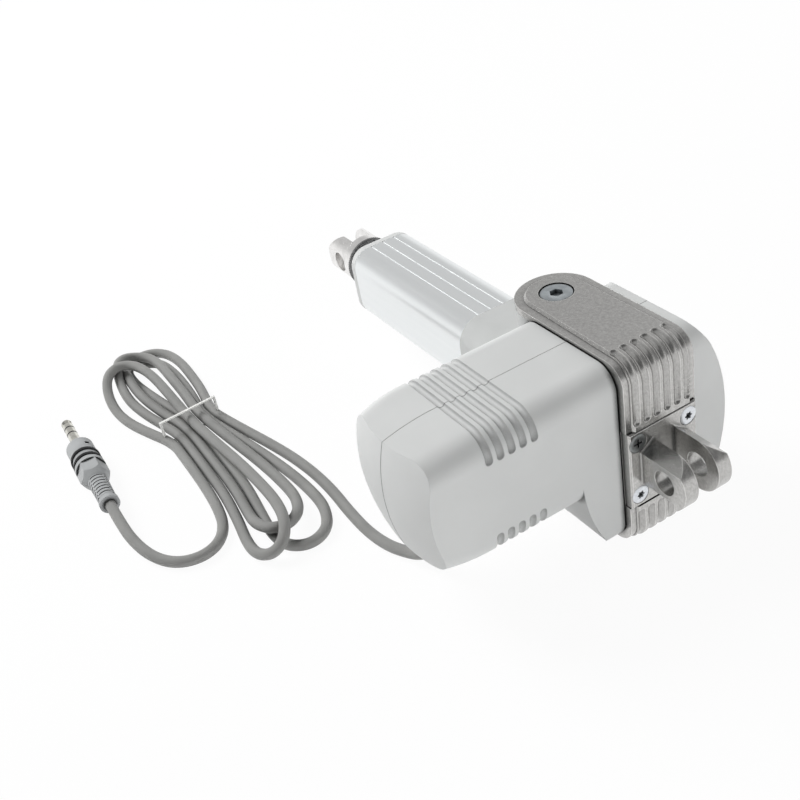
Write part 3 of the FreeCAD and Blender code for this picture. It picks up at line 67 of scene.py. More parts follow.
def finish(name, pale, dark, patch=8.0, rough=(0.4, 0.55), metal=0.0, grain=0.4, depth=0.02,
           edge=0.25, rubbed_glint=None, stretch=(1.0, 1.0, 1.0), speckle=0.0, hollow=(2.0, 0.5, 0.45),
           dull=False, steep=False):
    """A procedural finish: patches between two tones, a fine grain, rubbed edges that are partly a painted
    highlight, and painted shade in hollows.

    patch, grain, depth and edge are in millimetres; stretch squeezes the grain along an axis. hollow sets
    the
    painted shade in hollows and corners: how far, in millimetres, a wall shades what lies beside it, the
    share of colour left in the deepest, and how open the deepest is. A dull metal keeps its drawn,
    unpolished look in the hollows. With steep set, the painted shade stays only in hollows on the sides and
    fades from those that face up."""
    material = bpy.data.materials.new(name)
    material.use_nodes = True
    tree = material.node_tree
    shader = tree.nodes["Principled BSDF"]
    shader.inputs["Metallic"].default_value = metal
    place = tree.nodes.new("ShaderNodeTexCoord")
    mapping = tree.nodes.new("ShaderNodeMapping")
    mapping.inputs["Scale"].default_value = stretch
    wire(tree, place.outputs["Object"], mapping.inputs["Vector"])
    clouds = tree.nodes.new("ShaderNodeTexNoise")
    clouds.inputs["Scale"].default_value = 1.0 / (patch * MM)
    clouds.inputs["Detail"].default_value = 4.0
    wire(tree, mapping.outputs["Vector"], clouds.inputs["Vector"])
    fine = tree.nodes.new("ShaderNodeTexNoise")
    fine.inputs["Scale"].default_value = 1.0 / (grain * MM)
    fine.inputs["Detail"].default_value = 3.0
    wire(tree, mapping.outputs["Vector"], fine.inputs["Vector"])
    tones = tree.nodes.new("ShaderNodeMix")
    tones.data_type = "RGBA"
    tones.inputs[6].default_value = (*dark, 1.0)
    tones.inputs[7].default_value = (*pale, 1.0)
    share = ranged(tree, clouds.outputs["Fac"], *CLOUD_ENDS)
    if speckle:
        dots = tree.nodes.new("ShaderNodeMix")
        dots.inputs["Factor"].default_value = speckle
        wire(tree, share, dots.inputs["A"])
        wire(tree, ranged(tree, fine.outputs["Fac"], *GRAIN_ENDS), dots.inputs["B"])
        share = dots.outputs["Result"]
    wire(tree, share, tones.inputs["Factor"])
    # Painted shade: the colour darkens where ambient occlusion finds walls close by, in hollows and
    # corners.
    reach, least, closed = hollow
    opening = tree.nodes.new("ShaderNodeAmbientOcclusion")
    opening.samples = 6
    opening.inputs["Distance"].default_value = reach * MM
    shade = ranged(tree, opening.outputs["AO"], closed, FLAT_OPENING, start=least)
    shaded = tree.nodes.new("ShaderNodeVectorMath")
    shaded.operation = "SCALE"
    wire(tree, tones.outputs[2], shaded.inputs["Vector"])
    # With steep, the painted shade fades on faces that point up.
    if steep:
        facing = tree.nodes.new("ShaderNodeNewGeometry")
        upward = tree.nodes.new("ShaderNodeSeparateXYZ")
        wire(tree, facing.outputs["Normal"], upward.inputs["Vector"])
        up_facing_share = ranged(tree, upward.outputs["Z"], 0.70, 0.95, end=0.85)
        up_facing_unshaded = tree.nodes.new("ShaderNodeMix")
        up_facing_unshaded.inputs["B"].default_value = 1.0
        wire(tree, up_facing_share, up_facing_unshaded.inputs["Factor"])
        wire(tree, shade, up_facing_unshaded.inputs["A"])
        shade = up_facing_unshaded.outputs["Result"]
    wire(tree, shade, shaded.inputs["Scale"])
    colour = shaded.outputs["Vector"]
    if dull:
        polish = ranged(tree, opening.outputs["AO"], 0.8, 0.98, end=metal)
        wire(tree, polish, shader.inputs["Metallic"])
    bump = tree.nodes.new("ShaderNodeBump")
    bump.inputs["Strength"].default_value = 0.6
    bump.inputs["Distance"].default_value = depth * MM
    wire(tree, fine.outputs["Fac"], bump.inputs["Height"])
    if edge:
        soften = tree.nodes.new("ShaderNodeBevel")
        soften.samples = 4
        soften.inputs["Radius"].default_value = edge * MM
        wire(tree, soften.outputs["Normal"], bump.inputs["Normal"])
        # Rubbed edges: convex edges go toward a paler colour, partly wear and partly a painted highlight.
        if rubbed_glint:
            lie = tree.nodes.new("ShaderNodeNewGeometry")
            turn = tree.nodes.new("ShaderNodeVectorMath")
            turn.operation = "DOT_PRODUCT"
            wire(tree, soften.outputs["Normal"], turn.inputs[0])
            wire(tree, lie.outputs["Normal"], turn.inputs[1])
            worn_glint = ranged(tree, turn.outputs["Value"], 0.995, 0.90, end=0.85)
            outer = ranged(tree, opening.outputs["AO"], 0.82, FLAT_OPENING)
            rub_glint = tree.nodes.new("ShaderNodeMath")
            rub_glint.operation = "MULTIPLY"
            wire(tree, worn_glint, rub_glint.inputs[0])
            wire(tree, outer, rub_glint.inputs[1])
            bright = tree.nodes.new("ShaderNodeMix")
            bright.data_type = "RGBA"
            bright.inputs[7].default_value = (*rubbed_glint, 1.0)
            wire(tree, rub_glint.outputs["Value"], bright.inputs["Factor"])
            wire(tree, colour, bright.inputs[6])
            colour = bright.outputs[2]
    wire(tree, bump.outputs["Normal"], shader.inputs["Normal"])
    wire(tree, colour, shader.inputs["Base Color"])
    gloss = ranged(tree, clouds.outputs["Fac"], 0.0, 1.0, *rough)
    wire(tree, gloss, shader.inputs["Roughness"])
    return material


def dress(material, *nodes):
    """Gives solids of the frame a finish in place of their plain one."""
    for node in nodes:
        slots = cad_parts[node].data.materials
        slots.clear()
        slots.append(material)


cast_zinc = finish("cast_zinc", (0.60, 0.595, 0.58), (0.41, 0.405, 0.395), patch=1.4, rough=(0.17, 0.3),
                   metal=0.92, grain=0.4, depth=0.015, edge=0.5, rubbed_glint=(0.95, 0.94, 0.92), speckle=0.5,
                   hollow=(2.5, 0.15, 0.45))
dress(cast_zinc, "rear_clevis")


# Clevis screws: four countersunk steel screws through the foot into the gear frame, cold
# headed and bright zinc plated. Three have a six-lobe recess; one was replaced by a darker
# screw with a cross recess. Painted shade darkens the recesses, and the brighter edges are
# partly a painted highlight.
zinc_plate = finish("zinc_plate", (0.80, 0.82, 0.85), (0.66, 0.69, 0.73), patch=3.0, rough=(0.22, 0.34),
                    metal=0.85, grain=0.25, depth=0.006, edge=0.15, rubbed_glint=(0.9, 0.91, 0.92),
                    hollow=(1.6, 0.03, 0.45))
dark_plate = finish("dark_plate", (0.30, 0.31, 0.31), (0.20, 0.21, 0.21), patch=2.0, rough=(0.26, 0.4),
                    metal=0.85, grain=0.25, depth=0.01, edge=0.15, rubbed_glint=(0.62, 0.62, 0.62),
                    hollow=(1.6, 0.1, 0.45))
CLEVIS_FACE = 14.6
CLEVIS_PITCH = 29.4
CLEVIS_HEAD = 4.7
CLEVIS_SHANK = 2.45
CLEVIS_LENGTH = 22.0
LOBE_RADIUS, LOBE_WAVE, LOBE_DEPTH = 1.72, 0.34, 1.7
CROSS_REACH, CROSS_HALF, CROSS_DEPTH = 2.3, 0.5, 1.5
SHARP_EDGE = 38.0


def as_piece(name, shell, material):
    """Makes a new object of a mesh under work, smooth but for its sharp edges."""
    bmesh.ops.recalc_face_normals(shell, faces=shell.faces)
    mesh = bpy.data.meshes.new(name)
    shell.to_mesh(mesh)
    shell.free()
    mesh.shade_smooth()
    mesh.set_sharp_from_angle(angle=math.radians(SHARP_EDGE))
    mesh.materials.append(material)
    piece = bpy.data.objects.new(name, mesh)
    scene.collection.objects.link(piece)
    return piece


def skinned(name, rings, material):
    """A closed mesh skinned over rings of equally many points in millimetres, capped at both ends."""
    shell = bmesh.new()
    rows = [[shell.verts.new(Vector(point) * MM) for point in ring] for ring in rings]
    steps = len(rings[0])
    for low, high in zip(rows, rows[1:]):
        for step in range(steps):
            turn = (step + 1) % steps
            shell.faces.new((low[step], low[turn], high[turn], high[step]))
    shell.faces.new(rows[0][::-1])
    shell.faces.new(rows[-1])
    return as_piece(name, shell, material)


def six_lobe(angle):
    """Radius of a six-lobe recess at an angle."""
    return LOBE_RADIUS + LOBE_WAVE * math.cos(6 * angle)


def cross_slot(angle):
    """Radius of a cross recess at an angle."""
    off = abs((angle + math.pi / 4) % (math.pi / 2) - math.pi / 4)
    return min(CROSS_REACH / math.cos(off), CROSS_HALF / max(math.sin(off), 1e-6))


def screw_rings(profile, recess, depth, steps=96):
    """Rings of a screw: its turned profile from the tip to the face, then the recess in the face.

    Profile rows are (distance behind the face, radius); the screw lies along +X, face at 0."""
    rings = []
    for behind, radius in profile:
        rings.append([(behind, radius * math.cos(2 * math.pi * step / steps),
                       radius * math.sin(2 * math.pi * step / steps)) for step in range(steps)])
    face = profile[-1][0]
    for behind, share in ((face, 1.06), (face + 0.12, 1.0), (depth, 0.88), (depth + 0.4, 0.3)):
        ring = []
        for step in range(steps):
            angle = 2 * math.pi * step / steps
            radius = share * recess(angle)
            ring.append((behind, radius * math.cos(angle), radius * math.sin(angle)))
        rings.append(ring)
    return rings


def threaded(length, start, radius, pitch=0.8):
    """Profile rows of a threaded shank from its tip back to start."""
    rows = [(length, 0.3 * radius), (length, 0.7 * radius)]
    turns = int((length - start) / pitch)
    for turn in range(turns):
        behind = length - (turn + 0.5) * pitch
        rows += [(behind, radius), (behind - 0.4 * pitch, radius - 0.35)]
    return rows


def repeat_tree(name, sizes):
    """A tree of geometry nodes with named inputs, its two ends, and the inputs' identifiers."""
    tree = bpy.data.node_groups.new(name, "GeometryNodeTree")
    tree.interface.new_socket("Geometry", in_out="INPUT", socket_type="NodeSocketGeometry")
    keys = {}
    for label, kind in sizes:
        keys[label] = tree.interface.new_socket(label, in_out="INPUT", socket_type=kind).identifier
    tree.interface.new_socket("Geometry", in_out="OUTPUT", socket_type="NodeSocketGeometry")
    return tree, tree.nodes.new("NodeGroupInput"), tree.nodes.new("NodeGroupOutput"), keys


def close_tree(tree, geometry, end, material):
    """Ends a tree with real geometry in one material."""
    real = tree.nodes.new("GeometryNodeRealizeInstances")
    paint = tree.nodes.new("GeometryNodeSetMaterial")
    paint.inputs["Material"].default_value = material
    wire(tree, geometry, real.inputs["Geometry"])
    wire(tree, real.outputs["Geometry"], paint.inputs["Geometry"])
    wire(tree, paint.outputs["Geometry"], end.inputs["Geometry"])


def settled(name, tree, keys, values, mesh=None):
    """Runs a tree of geometry nodes on a new object and keeps the result as a plain mesh."""
    holder = bpy.data.objects.new(name, mesh or bpy.data.meshes.new(name + "_start"))
    scene.collection.objects.link(holder)
    modifier = holder.modifiers.new(name, "NODES")
    modifier.node_group = tree
    for label, value in values.items():
        modifier[keys[label]] = value
    solved = holder.evaluated_get(bpy.context.evaluated_depsgraph_get())
    plain = bpy.data.meshes.new_from_object(solved)
    holder.modifiers.clear()
    holder.data = plain
    plain.name = name
    return holder


clevis_profile = threaded(CLEVIS_LENGTH, 3.0, CLEVIS_SHANK) + [
    (2.6, CLEVIS_SHANK), (0.5, CLEVIS_HEAD - 0.1), (0.2, CLEVIS_HEAD), (0.0, CLEVIS_HEAD - 0.25),
    (-0.2, 0.6 * CLEVIS_HEAD)]
screw_pattern = skinned("screw_pattern", screw_rings(clevis_profile, six_lobe, LOBE_DEPTH), zinc_plate)
square, square_in, square_out, square_keys = repeat_tree("screw_square", [
    ("Screw", "NodeSocketObject"), ("Pitch", "NodeSocketFloat"), ("Face", "NodeSocketFloat")])
corners = square.nodes.new("GeometryNodeMeshGrid")
corners.inputs["Vertices X"].default_value = 2
corners.inputs["Vertices Y"].default_value = 2
wire(square, square_in.outputs["Pitch"], corners.inputs["Size X"])
wire(square, square_in.outputs["Pitch"], corners.inputs["Size Y"])
upright = square.nodes.new("GeometryNodeTransform")
upright.inputs["Rotation"].default_value = (0.0, math.radians(90.0), 0.0)
face_spot = square.nodes.new("ShaderNodeCombineXYZ")
wire(square, square_in.outputs["Face"], face_spot.inputs["X"])
wire(square, face_spot.outputs["Vector"], upright.inputs["Translation"])
wire(square, corners.outputs["Mesh"], upright.inputs["Geometry"])
spot_place = square.nodes.new("GeometryNodeInputPosition")
spot_parts = square.nodes.new("ShaderNodeSeparateXYZ")
wire(square, spot_place.outputs["Position"], spot_parts.inputs["Vector"])
spot_sum = square.nodes.new("ShaderNodeMath")
spot_sum.operation = "ADD"
wire(square, spot_parts.outputs["Y"], spot_sum.inputs[0])
wire(square, spot_parts.outputs["Z"], spot_sum.inputs[1])
not_upper = square.nodes.new("FunctionNodeCompare")
not_upper.operation = "LESS_THAN"
not_upper.inputs["B"].default_value = 0.5 * CLEVIS_PITCH * MM
wire(square, spot_sum.outputs["Value"], not_upper.inputs["A"])
screw_info = square.nodes.new("GeometryNodeObjectInfo")
wire(square, square_in.outputs["Screw"], screw_info.inputs["Object"])
set_screws = square.nodes.new("GeometryNodeInstanceOnPoints")
wire(square, upright.outputs["Geometry"], set_screws.inputs["Points"])
wire(square, not_upper.outputs["Result"], set_screws.inputs["Selection"])
wire(square, screw_info.outputs["Geometry"], set_screws.inputs["Instance"])
close_tree(square, set_screws.outputs["Instances"], square_out, zinc_plate)
lobe_screws = settled("clevis_lobe_screws", square, square_keys,
                      {"Screw": screw_pattern, "Pitch": CLEVIS_PITCH * MM, "Face": CLEVIS_FACE * MM})
bpy.data.objects.remove(screw_pattern)
cross_screw = skinned("clevis_cross_screw", [
    [(x + CLEVIS_FACE, y + CLEVIS_PITCH / 2, z + CLEVIS_PITCH / 2) for x, y, z in ring]
    for ring in screw_rings(clevis_profile, cross_slot, CROSS_DEPTH)], dark_plate)
for screws in (lobe_screws, cross_screw):
    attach(screws, "housing")
    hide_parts("clevis_screws")


# Yoke strap: a zinc casting bent over the gear housing, with a sunk panel on its top and
# six flutes round its bend. It carries the pull of the rod back to the clevis.
dress(cast_zinc, "yoke_strap")


# Strap screws: a large shouldered steel screw above and below, sunk into the strap's arms,
# zinc plated, with a plain six-sided socket. Painted shade darkens the socket, and the brighter
# edges are partly a painted highlight.
strap_steel = finish("strap_steel", (0.50, 0.54, 0.56), (0.37, 0.40, 0.42), patch=4.0, rough=(0.25, 0.38),
                     metal=0.9, grain=0.3, depth=0.01, edge=0.2, rubbed_glint=(0.75, 0.78, 0.82),
                     hollow=(2.0, 0.05, 0.45))
STRAP_SCREW = (85.6, 0.0)
STRAP_TOP = 57.0
STRAP_BOTTOM = -46.0
STRAP_SHANK, STRAP_SHOULDER = 4.95, 8.1
SOCKET_HALF, SOCKET_DEPTH = 3.0, 2.6


def six_sided(angle):
    """Radius of a six-sided socket at an angle."""
    off = (angle + math.pi / 6) % (math.pi / 3) - math.pi / 6
    return SOCKET_HALF / math.cos(off)


strap_profile = threaded(26.0, 9.0, STRAP_SHANK, 1.2) + [
    (3.4, STRAP_SHANK), (3.3, STRAP_SHOULDER), (0.75, STRAP_SHOULDER), (0.4, 7.8), (0.3, 7.4)]
strap_rings = screw_rings(strap_profile, six_sided, SOCKET_DEPTH)
for name, face, inward in (("strap_screw_top", STRAP_TOP, -1), ("strap_screw_bottom", STRAP_BOTTOM, 1)):
    turned = [[(STRAP_SCREW[0] + y, STRAP_SCREW[1] + z, face + inward * x) for x, y, z in ring]
              for ring in strap_rings]
    strap_screw = skinned(name, turned, strap_steel)
    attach(strap_screw, "housing")
    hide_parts("strap_screws")


# Nose block: the casting between the gear housing and the tube, a smooth cone. It is painted
# grey and takes the tube's end. Its grey is set darker than the shells' as painted shade, for
# the weaker light it gets.
nose_grey_shaded = finish("nose_grey_shaded", (0.50, 0.51, 0.505), (0.47, 0.48, 0.475), patch=20.0, rough=(0.38, 0.48),
                    grain=0.5, depth=0.012, edge=0.5)
dress(nose_grey_shaded, "nose_block")


# Housing shells: two injection-moulded halves in pale grey plastic, split across the motor.
# The moulding is finely spark-eroded, so it is matt with a low sheen. Painted shade darkens
# the hollows of the flutes on the sides, not on the top.
housing_grey = finish("housing_grey", (0.66, 0.67, 0.665), (0.63, 0.64, 0.635), patch=30.0,
                      rough=(0.42, 0.5), grain=0.5, depth=0.012, edge=0.5, hollow=(3.5, 0.2, 0.68),
                      steep=True)
dress(housing_grey, "rear_shell", "front_shell")


# Parting line: the fine dark joint where the two moulded shells meet, round the barrel and the
# gear case. It is laid as a thin line just inside the front shell.
SPLIT_X = 53.0
SEAM_INSET, SEAM_WIDTH = 0.1, 0.2
seam_dark = finish("seam_dark", (0.20, 0.20, 0.20), (0.14, 0.14, 0.14), patch=2.0, rough=(0.6, 0.7),
                   grain=0.3, depth=0.01, edge=0.0)


def section_line(node, at):
    """The longest closed line, in order, where the plane at x cuts a solid of the frame."""
    solid = bmesh.new()
    solid.from_mesh(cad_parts[node].data)
    bmesh.ops.remove_doubles(solid, verts=solid.verts, dist=1e-6)
    parts = solid.verts[:] + solid.edges[:] + solid.faces[:]
    bmesh.ops.bisect_plane(solid, geom=parts, dist=1e-7, plane_co=(at * MM, 0.0, 0.0),
                           plane_no=(1.0, 0.0, 0.0), clear_inner=True, clear_outer=True)
    lines = []
    waiting = set(solid.verts)
    while waiting:
        spot = waiting.pop()
        line = [spot]
        while True:
            ahead = [edge.other_vert(spot) for edge in spot.link_edges if edge.other_vert(spot) in waiting]
            if not ahead:
                break
            spot = min(ahead, key=lambda vert: (vert.co - spot.co).length)
            waiting.discard(spot)
            line.append(spot)
        lines.append([vert.co.copy() for vert in line])
    solid.free()
    return max(lines, key=lambda line: sum((one - two).length for one, two in zip(line, line[1:])))


def fine_line(name, points, width, material):
    """A thin round closed line laid along points in metres."""
    curve = bpy.data.curves.new(name, "CURVE")
    curve.dimensions = "3D"
    curve.bevel_depth = width * MM / 2
    curve.bevel_resolution = 1
    spline = curve.splines.new("POLY")
    spline.points.add(len(points) - 1)
    for spot, point in zip(spline.points, points):
        spot.co = (*point, 1.0)
    spline.use_cyclic_u = True
    curve.materials.append(material)
    piece = bpy.data.objects.new(name, curve)
    scene.collection.objects.link(piece)
    return piece


seam = fine_line("shell_seam", section_line("front_shell", SPLIT_X + SEAM_INSET), SEAM_WIDTH, seam_dark)
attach(seam, "housing")


# Housing screws: five plated screws with cross recesses, deep in the front shell's sockets,
# which draw the two shells together.
SHELL_SPOTS = [(-30.5, 25.0), (-30.5, -20.0), (27.5, -28.0), (110.0, 40.5), (110.0, 3.0)]
SHELL_HEAD_X = 83.0
SHELL_LENGTH, SHELL_SHANK, SHELL_HEAD = 42.0, 1.85, 3.35
SHELL_RECESS, SHELL_STEPS = 1.4, 64
shell_profile = threaded(SHELL_LENGTH, 3.0, SHELL_SHANK, 1.0) + [
    (2.1, SHELL_SHANK), (2.0, SHELL_HEAD), (0.7, SHELL_HEAD), (0.25, 2.9), (0.0, 2.4)]
shell_rings = screw_rings(shell_profile, cross_slot, SHELL_RECESS, SHELL_STEPS)
shell_pattern = skinned("shell_pattern", [[(-x, y, z) for x, y, z in ring] for ring in shell_rings],
                        zinc_plate)
spread, spread_in, spread_out, spread_keys = repeat_tree("screw_spread", [("Screw", "NodeSocketObject")])
spread_info = spread.nodes.new("GeometryNodeObjectInfo")
wire(spread, spread_in.outputs["Screw"], spread_info.inputs["Object"])
spread_set = spread.nodes.new("GeometryNodeInstanceOnPoints")
wire(spread, spread_in.outputs["Geometry"], spread_set.inputs["Points"])
wire(spread, spread_info.outputs["Geometry"], spread_set.inputs["Instance"])
close_tree(spread, spread_set.outputs["Instances"], spread_out, zinc_plate)
shell_points = bpy.data.meshes.new("shell_points")
shell_points.from_pydata([(SHELL_HEAD_X * MM, y * MM, z * MM) for y, z in SHELL_SPOTS], [], [])
shell_screws = settled("shell_screws", spread, spread_keys, {"Screw": shell_pattern}, shell_points)
bpy.data.objects.remove(shell_pattern)
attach(shell_screws, "housing")
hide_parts("housing_screws")


# Outer tube: an aluminium extrusion with three grooves along its top, clear anodised.
# The drawing of the profile leaves fine lines along its length.
tube_aluminium = finish("tube_aluminium", (0.90, 0.92, 0.925), (0.86, 0.885, 0.89), patch=6.0,
                        rough=(0.30, 0.38), metal=0.9, grain=0.5, depth=0.006, edge=0.3,
                        stretch=(0.03, 1.0, 1.0), hollow=(0.8, 1.0, 0.45), dull=True)
dress(tube_aluminium, "outer_tube")


# Front cap: a plastic moulding pressed into the tube's end. It holds a black rubber wiper, and
# behind it the rod runs in a plain plastic guide.
dress(housing_grey, "front_cap")
soft_rubber = finish("soft_rubber", (0.018, 0.018, 0.019), (0.010, 0.010, 0.011), patch=3.0,
                     rough=(0.55, 0.7), grain=0.3, depth=0.02, edge=0.2)
bush_plastic = finish("bush_plastic", (0.70, 0.69, 0.64), (0.62, 0.61, 0.57), patch=5.0, rough=(0.4, 0.5),
                      grain=0.4, depth=0.01, edge=0.2)
dress(soft_rubber, "rod_wiper")
dress(bush_plastic, "rod_guide", "worm_bushes", "bearing_carrier")


# Limit strip and switches: a glass-laminate board that lies inside the tube, with two small
# black switches on it that stop the motor at the ends of the stroke.
board_green = finish("board_green", (0.03, 0.16, 0.07), (0.02, 0.11, 0.05), patch=3.0, rough=(0.3, 0.4),
                     grain=0.4, depth=0.01, edge=0.1)
switch_black = finish("switch_black", (0.03, 0.03, 0.032), (0.02, 0.02, 0.021), patch=3.0, rough=(0.4, 0.5),
                      grain=0.3, depth=0.01, edge=0.2)
dress(board_green, "limit_strip")
dress(switch_black, "limit_switches")


# Drive train: a rolled steel spindle in ball bearings, turned by a bronze wheel from a steel
# worm. A bronze nut runs on it, and a zinc casting carries the gears.
# The steel and bronze edges are brighter, partly a painted highlight.
bright_steel = finish("bright_steel", (0.62, 0.63, 0.64), (0.50, 0.51, 0.52), patch=4.0, rough=(0.22, 0.32),
                      metal=0.95, grain=0.3, depth=0.006, edge=0.2, rubbed_glint=(0.8, 0.8, 0.8))
bronze = finish("bronze", (0.55, 0.36, 0.15), (0.44, 0.28, 0.11), patch=4.0, rough=(0.28, 0.4),
                metal=0.9, grain=0.3, depth=0.01, edge=0.2, rubbed_glint=(0.75, 0.55, 0.3))
dress(bright_steel, "spindle", "spindle_bearings", "worm_shaft", "motor_bearings")
dress(bronze, "worm_wheel", "drive_nut")
dress(cast_zinc, "gear_frame")


# Piston rod and eye: a drawn aluminium tube that slides out of the cap, and a turned steel eye
# with two flats at its end.
rod_aluminium = finish("rod_aluminium", (0.78, 0.79, 0.80), (0.70, 0.71, 0.72), patch=5.0, rough=(0.2, 0.3),
                       metal=0.95, grain=0.4, depth=0.004, edge=0.2, stretch=(0.05, 1.0, 1.0))
# The eye's brighter edges are partly a painted highlight.
eye_steel = finish("eye_steel", (0.90, 0.89, 0.88), (0.78, 0.77, 0.76), patch=4.0, rough=(0.18, 0.3),
                   metal=0.95, grain=0.35, depth=0.01, edge=0.3, rubbed_glint=(0.86, 0.86, 0.85))
dress(rod_aluminium, "piston_rod")
dress(eye_steel, "rod_eye")


# Lock ring: a thin steel ring screwed up against the eye. It is blackened, and its rim has a
# straight knurl that is rubbed bright, partly a painted highlight; painted shade darkens it
# between the ridges.
RING_BACK, RING_FRONT = 278.25, 280.95
RING_BORE, RING_RIM = 12.55, 15.35
RING_CHAMFER = 0.5
RING_RIDGES, RIDGE_RADIUS = 72, 0.4
ring_dark = finish("ring_dark", (0.34, 0.34, 0.34), (0.10, 0.10, 0.10), patch=1.2, rough=(0.3, 0.45),
                   metal=0.8, grain=0.3, depth=0.02, edge=0.2, rubbed_glint=(0.62, 0.62, 0.63),
                   hollow=(0.8, 0.2, 0.45))


def turned_ring(name, profile, material, place=Matrix(), steps=144):
    """A ring turned about the X axis of a place from a closed profile of (distance along, radius)."""
    shell = bmesh.new()
    rows = []
    for step in range(steps):
        angle = 2 * math.pi * step / steps
        across, up = math.cos(angle), math.sin(angle)
        rows.append([shell.verts.new(place @ Vector((along, radius * across, radius * up)) * MM)
                     for along, radius in profile])
    for row, after in zip(rows, rows[1:] + rows[:1]):
        for index in range(len(profile)):
            turn = (index + 1) % len(profile)
            shell.faces.new((row[index], row[turn], after[turn], after[index]))
    return as_piece(name, shell, material)


ring_start = turned_ring("ring_start", [
    (RING_BACK, RING_BORE), (RING_BACK, RING_RIM - RING_CHAMFER), (RING_BACK + RING_CHAMFER, RING_RIM),
    (RING_FRONT - RING_CHAMFER, RING_RIM), (RING_FRONT, RING_RIM - RING_CHAMFER),
    (RING_FRONT, RING_BORE)], ring_dark)
knurl, knurl_in, knurl_out, knurl_keys = repeat_tree("ring_knurl", [
    ("Ridges", "NodeSocketInt"), ("Rim", "NodeSocketFloat"), ("Middle", "NodeSocketFloat"),
    ("Length", "NodeSocketFloat")])
rim_spots = knurl.nodes.new("GeometryNodeMeshCircle")
wire(knurl, knurl_in.outputs["Ridges"], rim_spots.inputs["Vertices"])
wire(knurl, knurl_in.outputs["Rim"], rim_spots.inputs["Radius"])
rim_place = knurl.nodes.new("ShaderNodeCombineXYZ")
wire(knurl, knurl_in.outputs["Middle"], rim_place.inputs["X"])
rim_upright = knurl.nodes.new("GeometryNodeTransform")
rim_upright.inputs["Rotation"].default_value = (0.0, math.radians(90.0), 0.0)
wire(knurl, rim_spots.outputs["Mesh"], rim_upright.inputs["Geometry"])
wire(knurl, rim_place.outputs["Vector"], rim_upright.inputs["Translation"])
ridge = knurl.nodes.new("GeometryNodeMeshCylinder")
ridge.inputs["Vertices"].default_value = 8
ridge.inputs["Radius"].default_value = RIDGE_RADIUS * MM
wire(knurl, knurl_in.outputs["Length"], ridge.inputs["Depth"])
ridge_flat = knurl.nodes.new("GeometryNodeTransform")
ridge_flat.inputs["Rotation"].default_value = (0.0, math.radians(90.0), 0.0)
wire(knurl, ridge.outputs["Mesh"], ridge_flat.inputs["Geometry"])
ridge_set = knurl.nodes.new("GeometryNodeInstanceOnPoints")
wire(knurl, rim_upright.outputs["Geometry"], ridge_set.inputs["Points"])
wire(knurl, ridge_flat.outputs["Geometry"], ridge_set.inputs["Instance"])
ring_join = knurl.nodes.new("GeometryNodeJoinGeometry")
wire(knurl, knurl_in.outputs["Geometry"], ring_join.inputs["Geometry"])
wire(knurl, ridge_set.outputs["Instances"], ring_join.inputs["Geometry"])
close_tree(knurl, ring_join.outputs["Geometry"], knurl_out, ring_dark)
lock_ring = settled("lock_ring", knurl, knurl_keys, {
    "Ridges": RING_RIDGES, "Rim": RING_RIM * MM, "Middle": (RING_BACK + RING_FRONT) / 2 * MM,
    "Length": (RING_FRONT - RING_BACK - 2 * RING_CHAMFER) * MM}, ring_start.data)
bpy.data.objects.remove(ring_start)
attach(lock_ring, "rod")
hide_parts("rod_lock_ring")


# Motor: a drawn steel can with two ceramic magnets, a wound copper armature, a commutator and
# two carbon brushes. It lies in the barrel of the shells.
can_steel = finish("can_steel", (0.50, 0.50, 0.49), (0.42, 0.42, 0.41), patch=6.0, rough=(0.3, 0.42),
                   metal=0.85, grain=0.4, depth=0.008, edge=0.3)
magnet_ceramic = finish("magnet_ceramic", (0.07, 0.07, 0.075), (0.05, 0.05, 0.052), patch=4.0,
                        rough=(0.6, 0.7), grain=0.3, depth=0.02, edge=0.2)
copper = finish("copper", (0.62, 0.27, 0.13), (0.48, 0.19, 0.09), patch=1.5, rough=(0.25, 0.4),
                metal=0.9, grain=0.3, depth=0.05, edge=0.2)
brush_carbon = finish("brush_carbon", (0.035, 0.035, 0.037), (0.022, 0.022, 0.023), patch=1.0,
                      rough=(0.5, 0.65), grain=0.2, depth=0.02, edge=0.1)
dress(can_steel, "motor_can", "motor_front_plate", "motor_end_cap")
dress(magnet_ceramic, "motor_magnets")
dress(copper, "motor_armature", "commutator")
dress(brush_carbon, "motor_brushes")


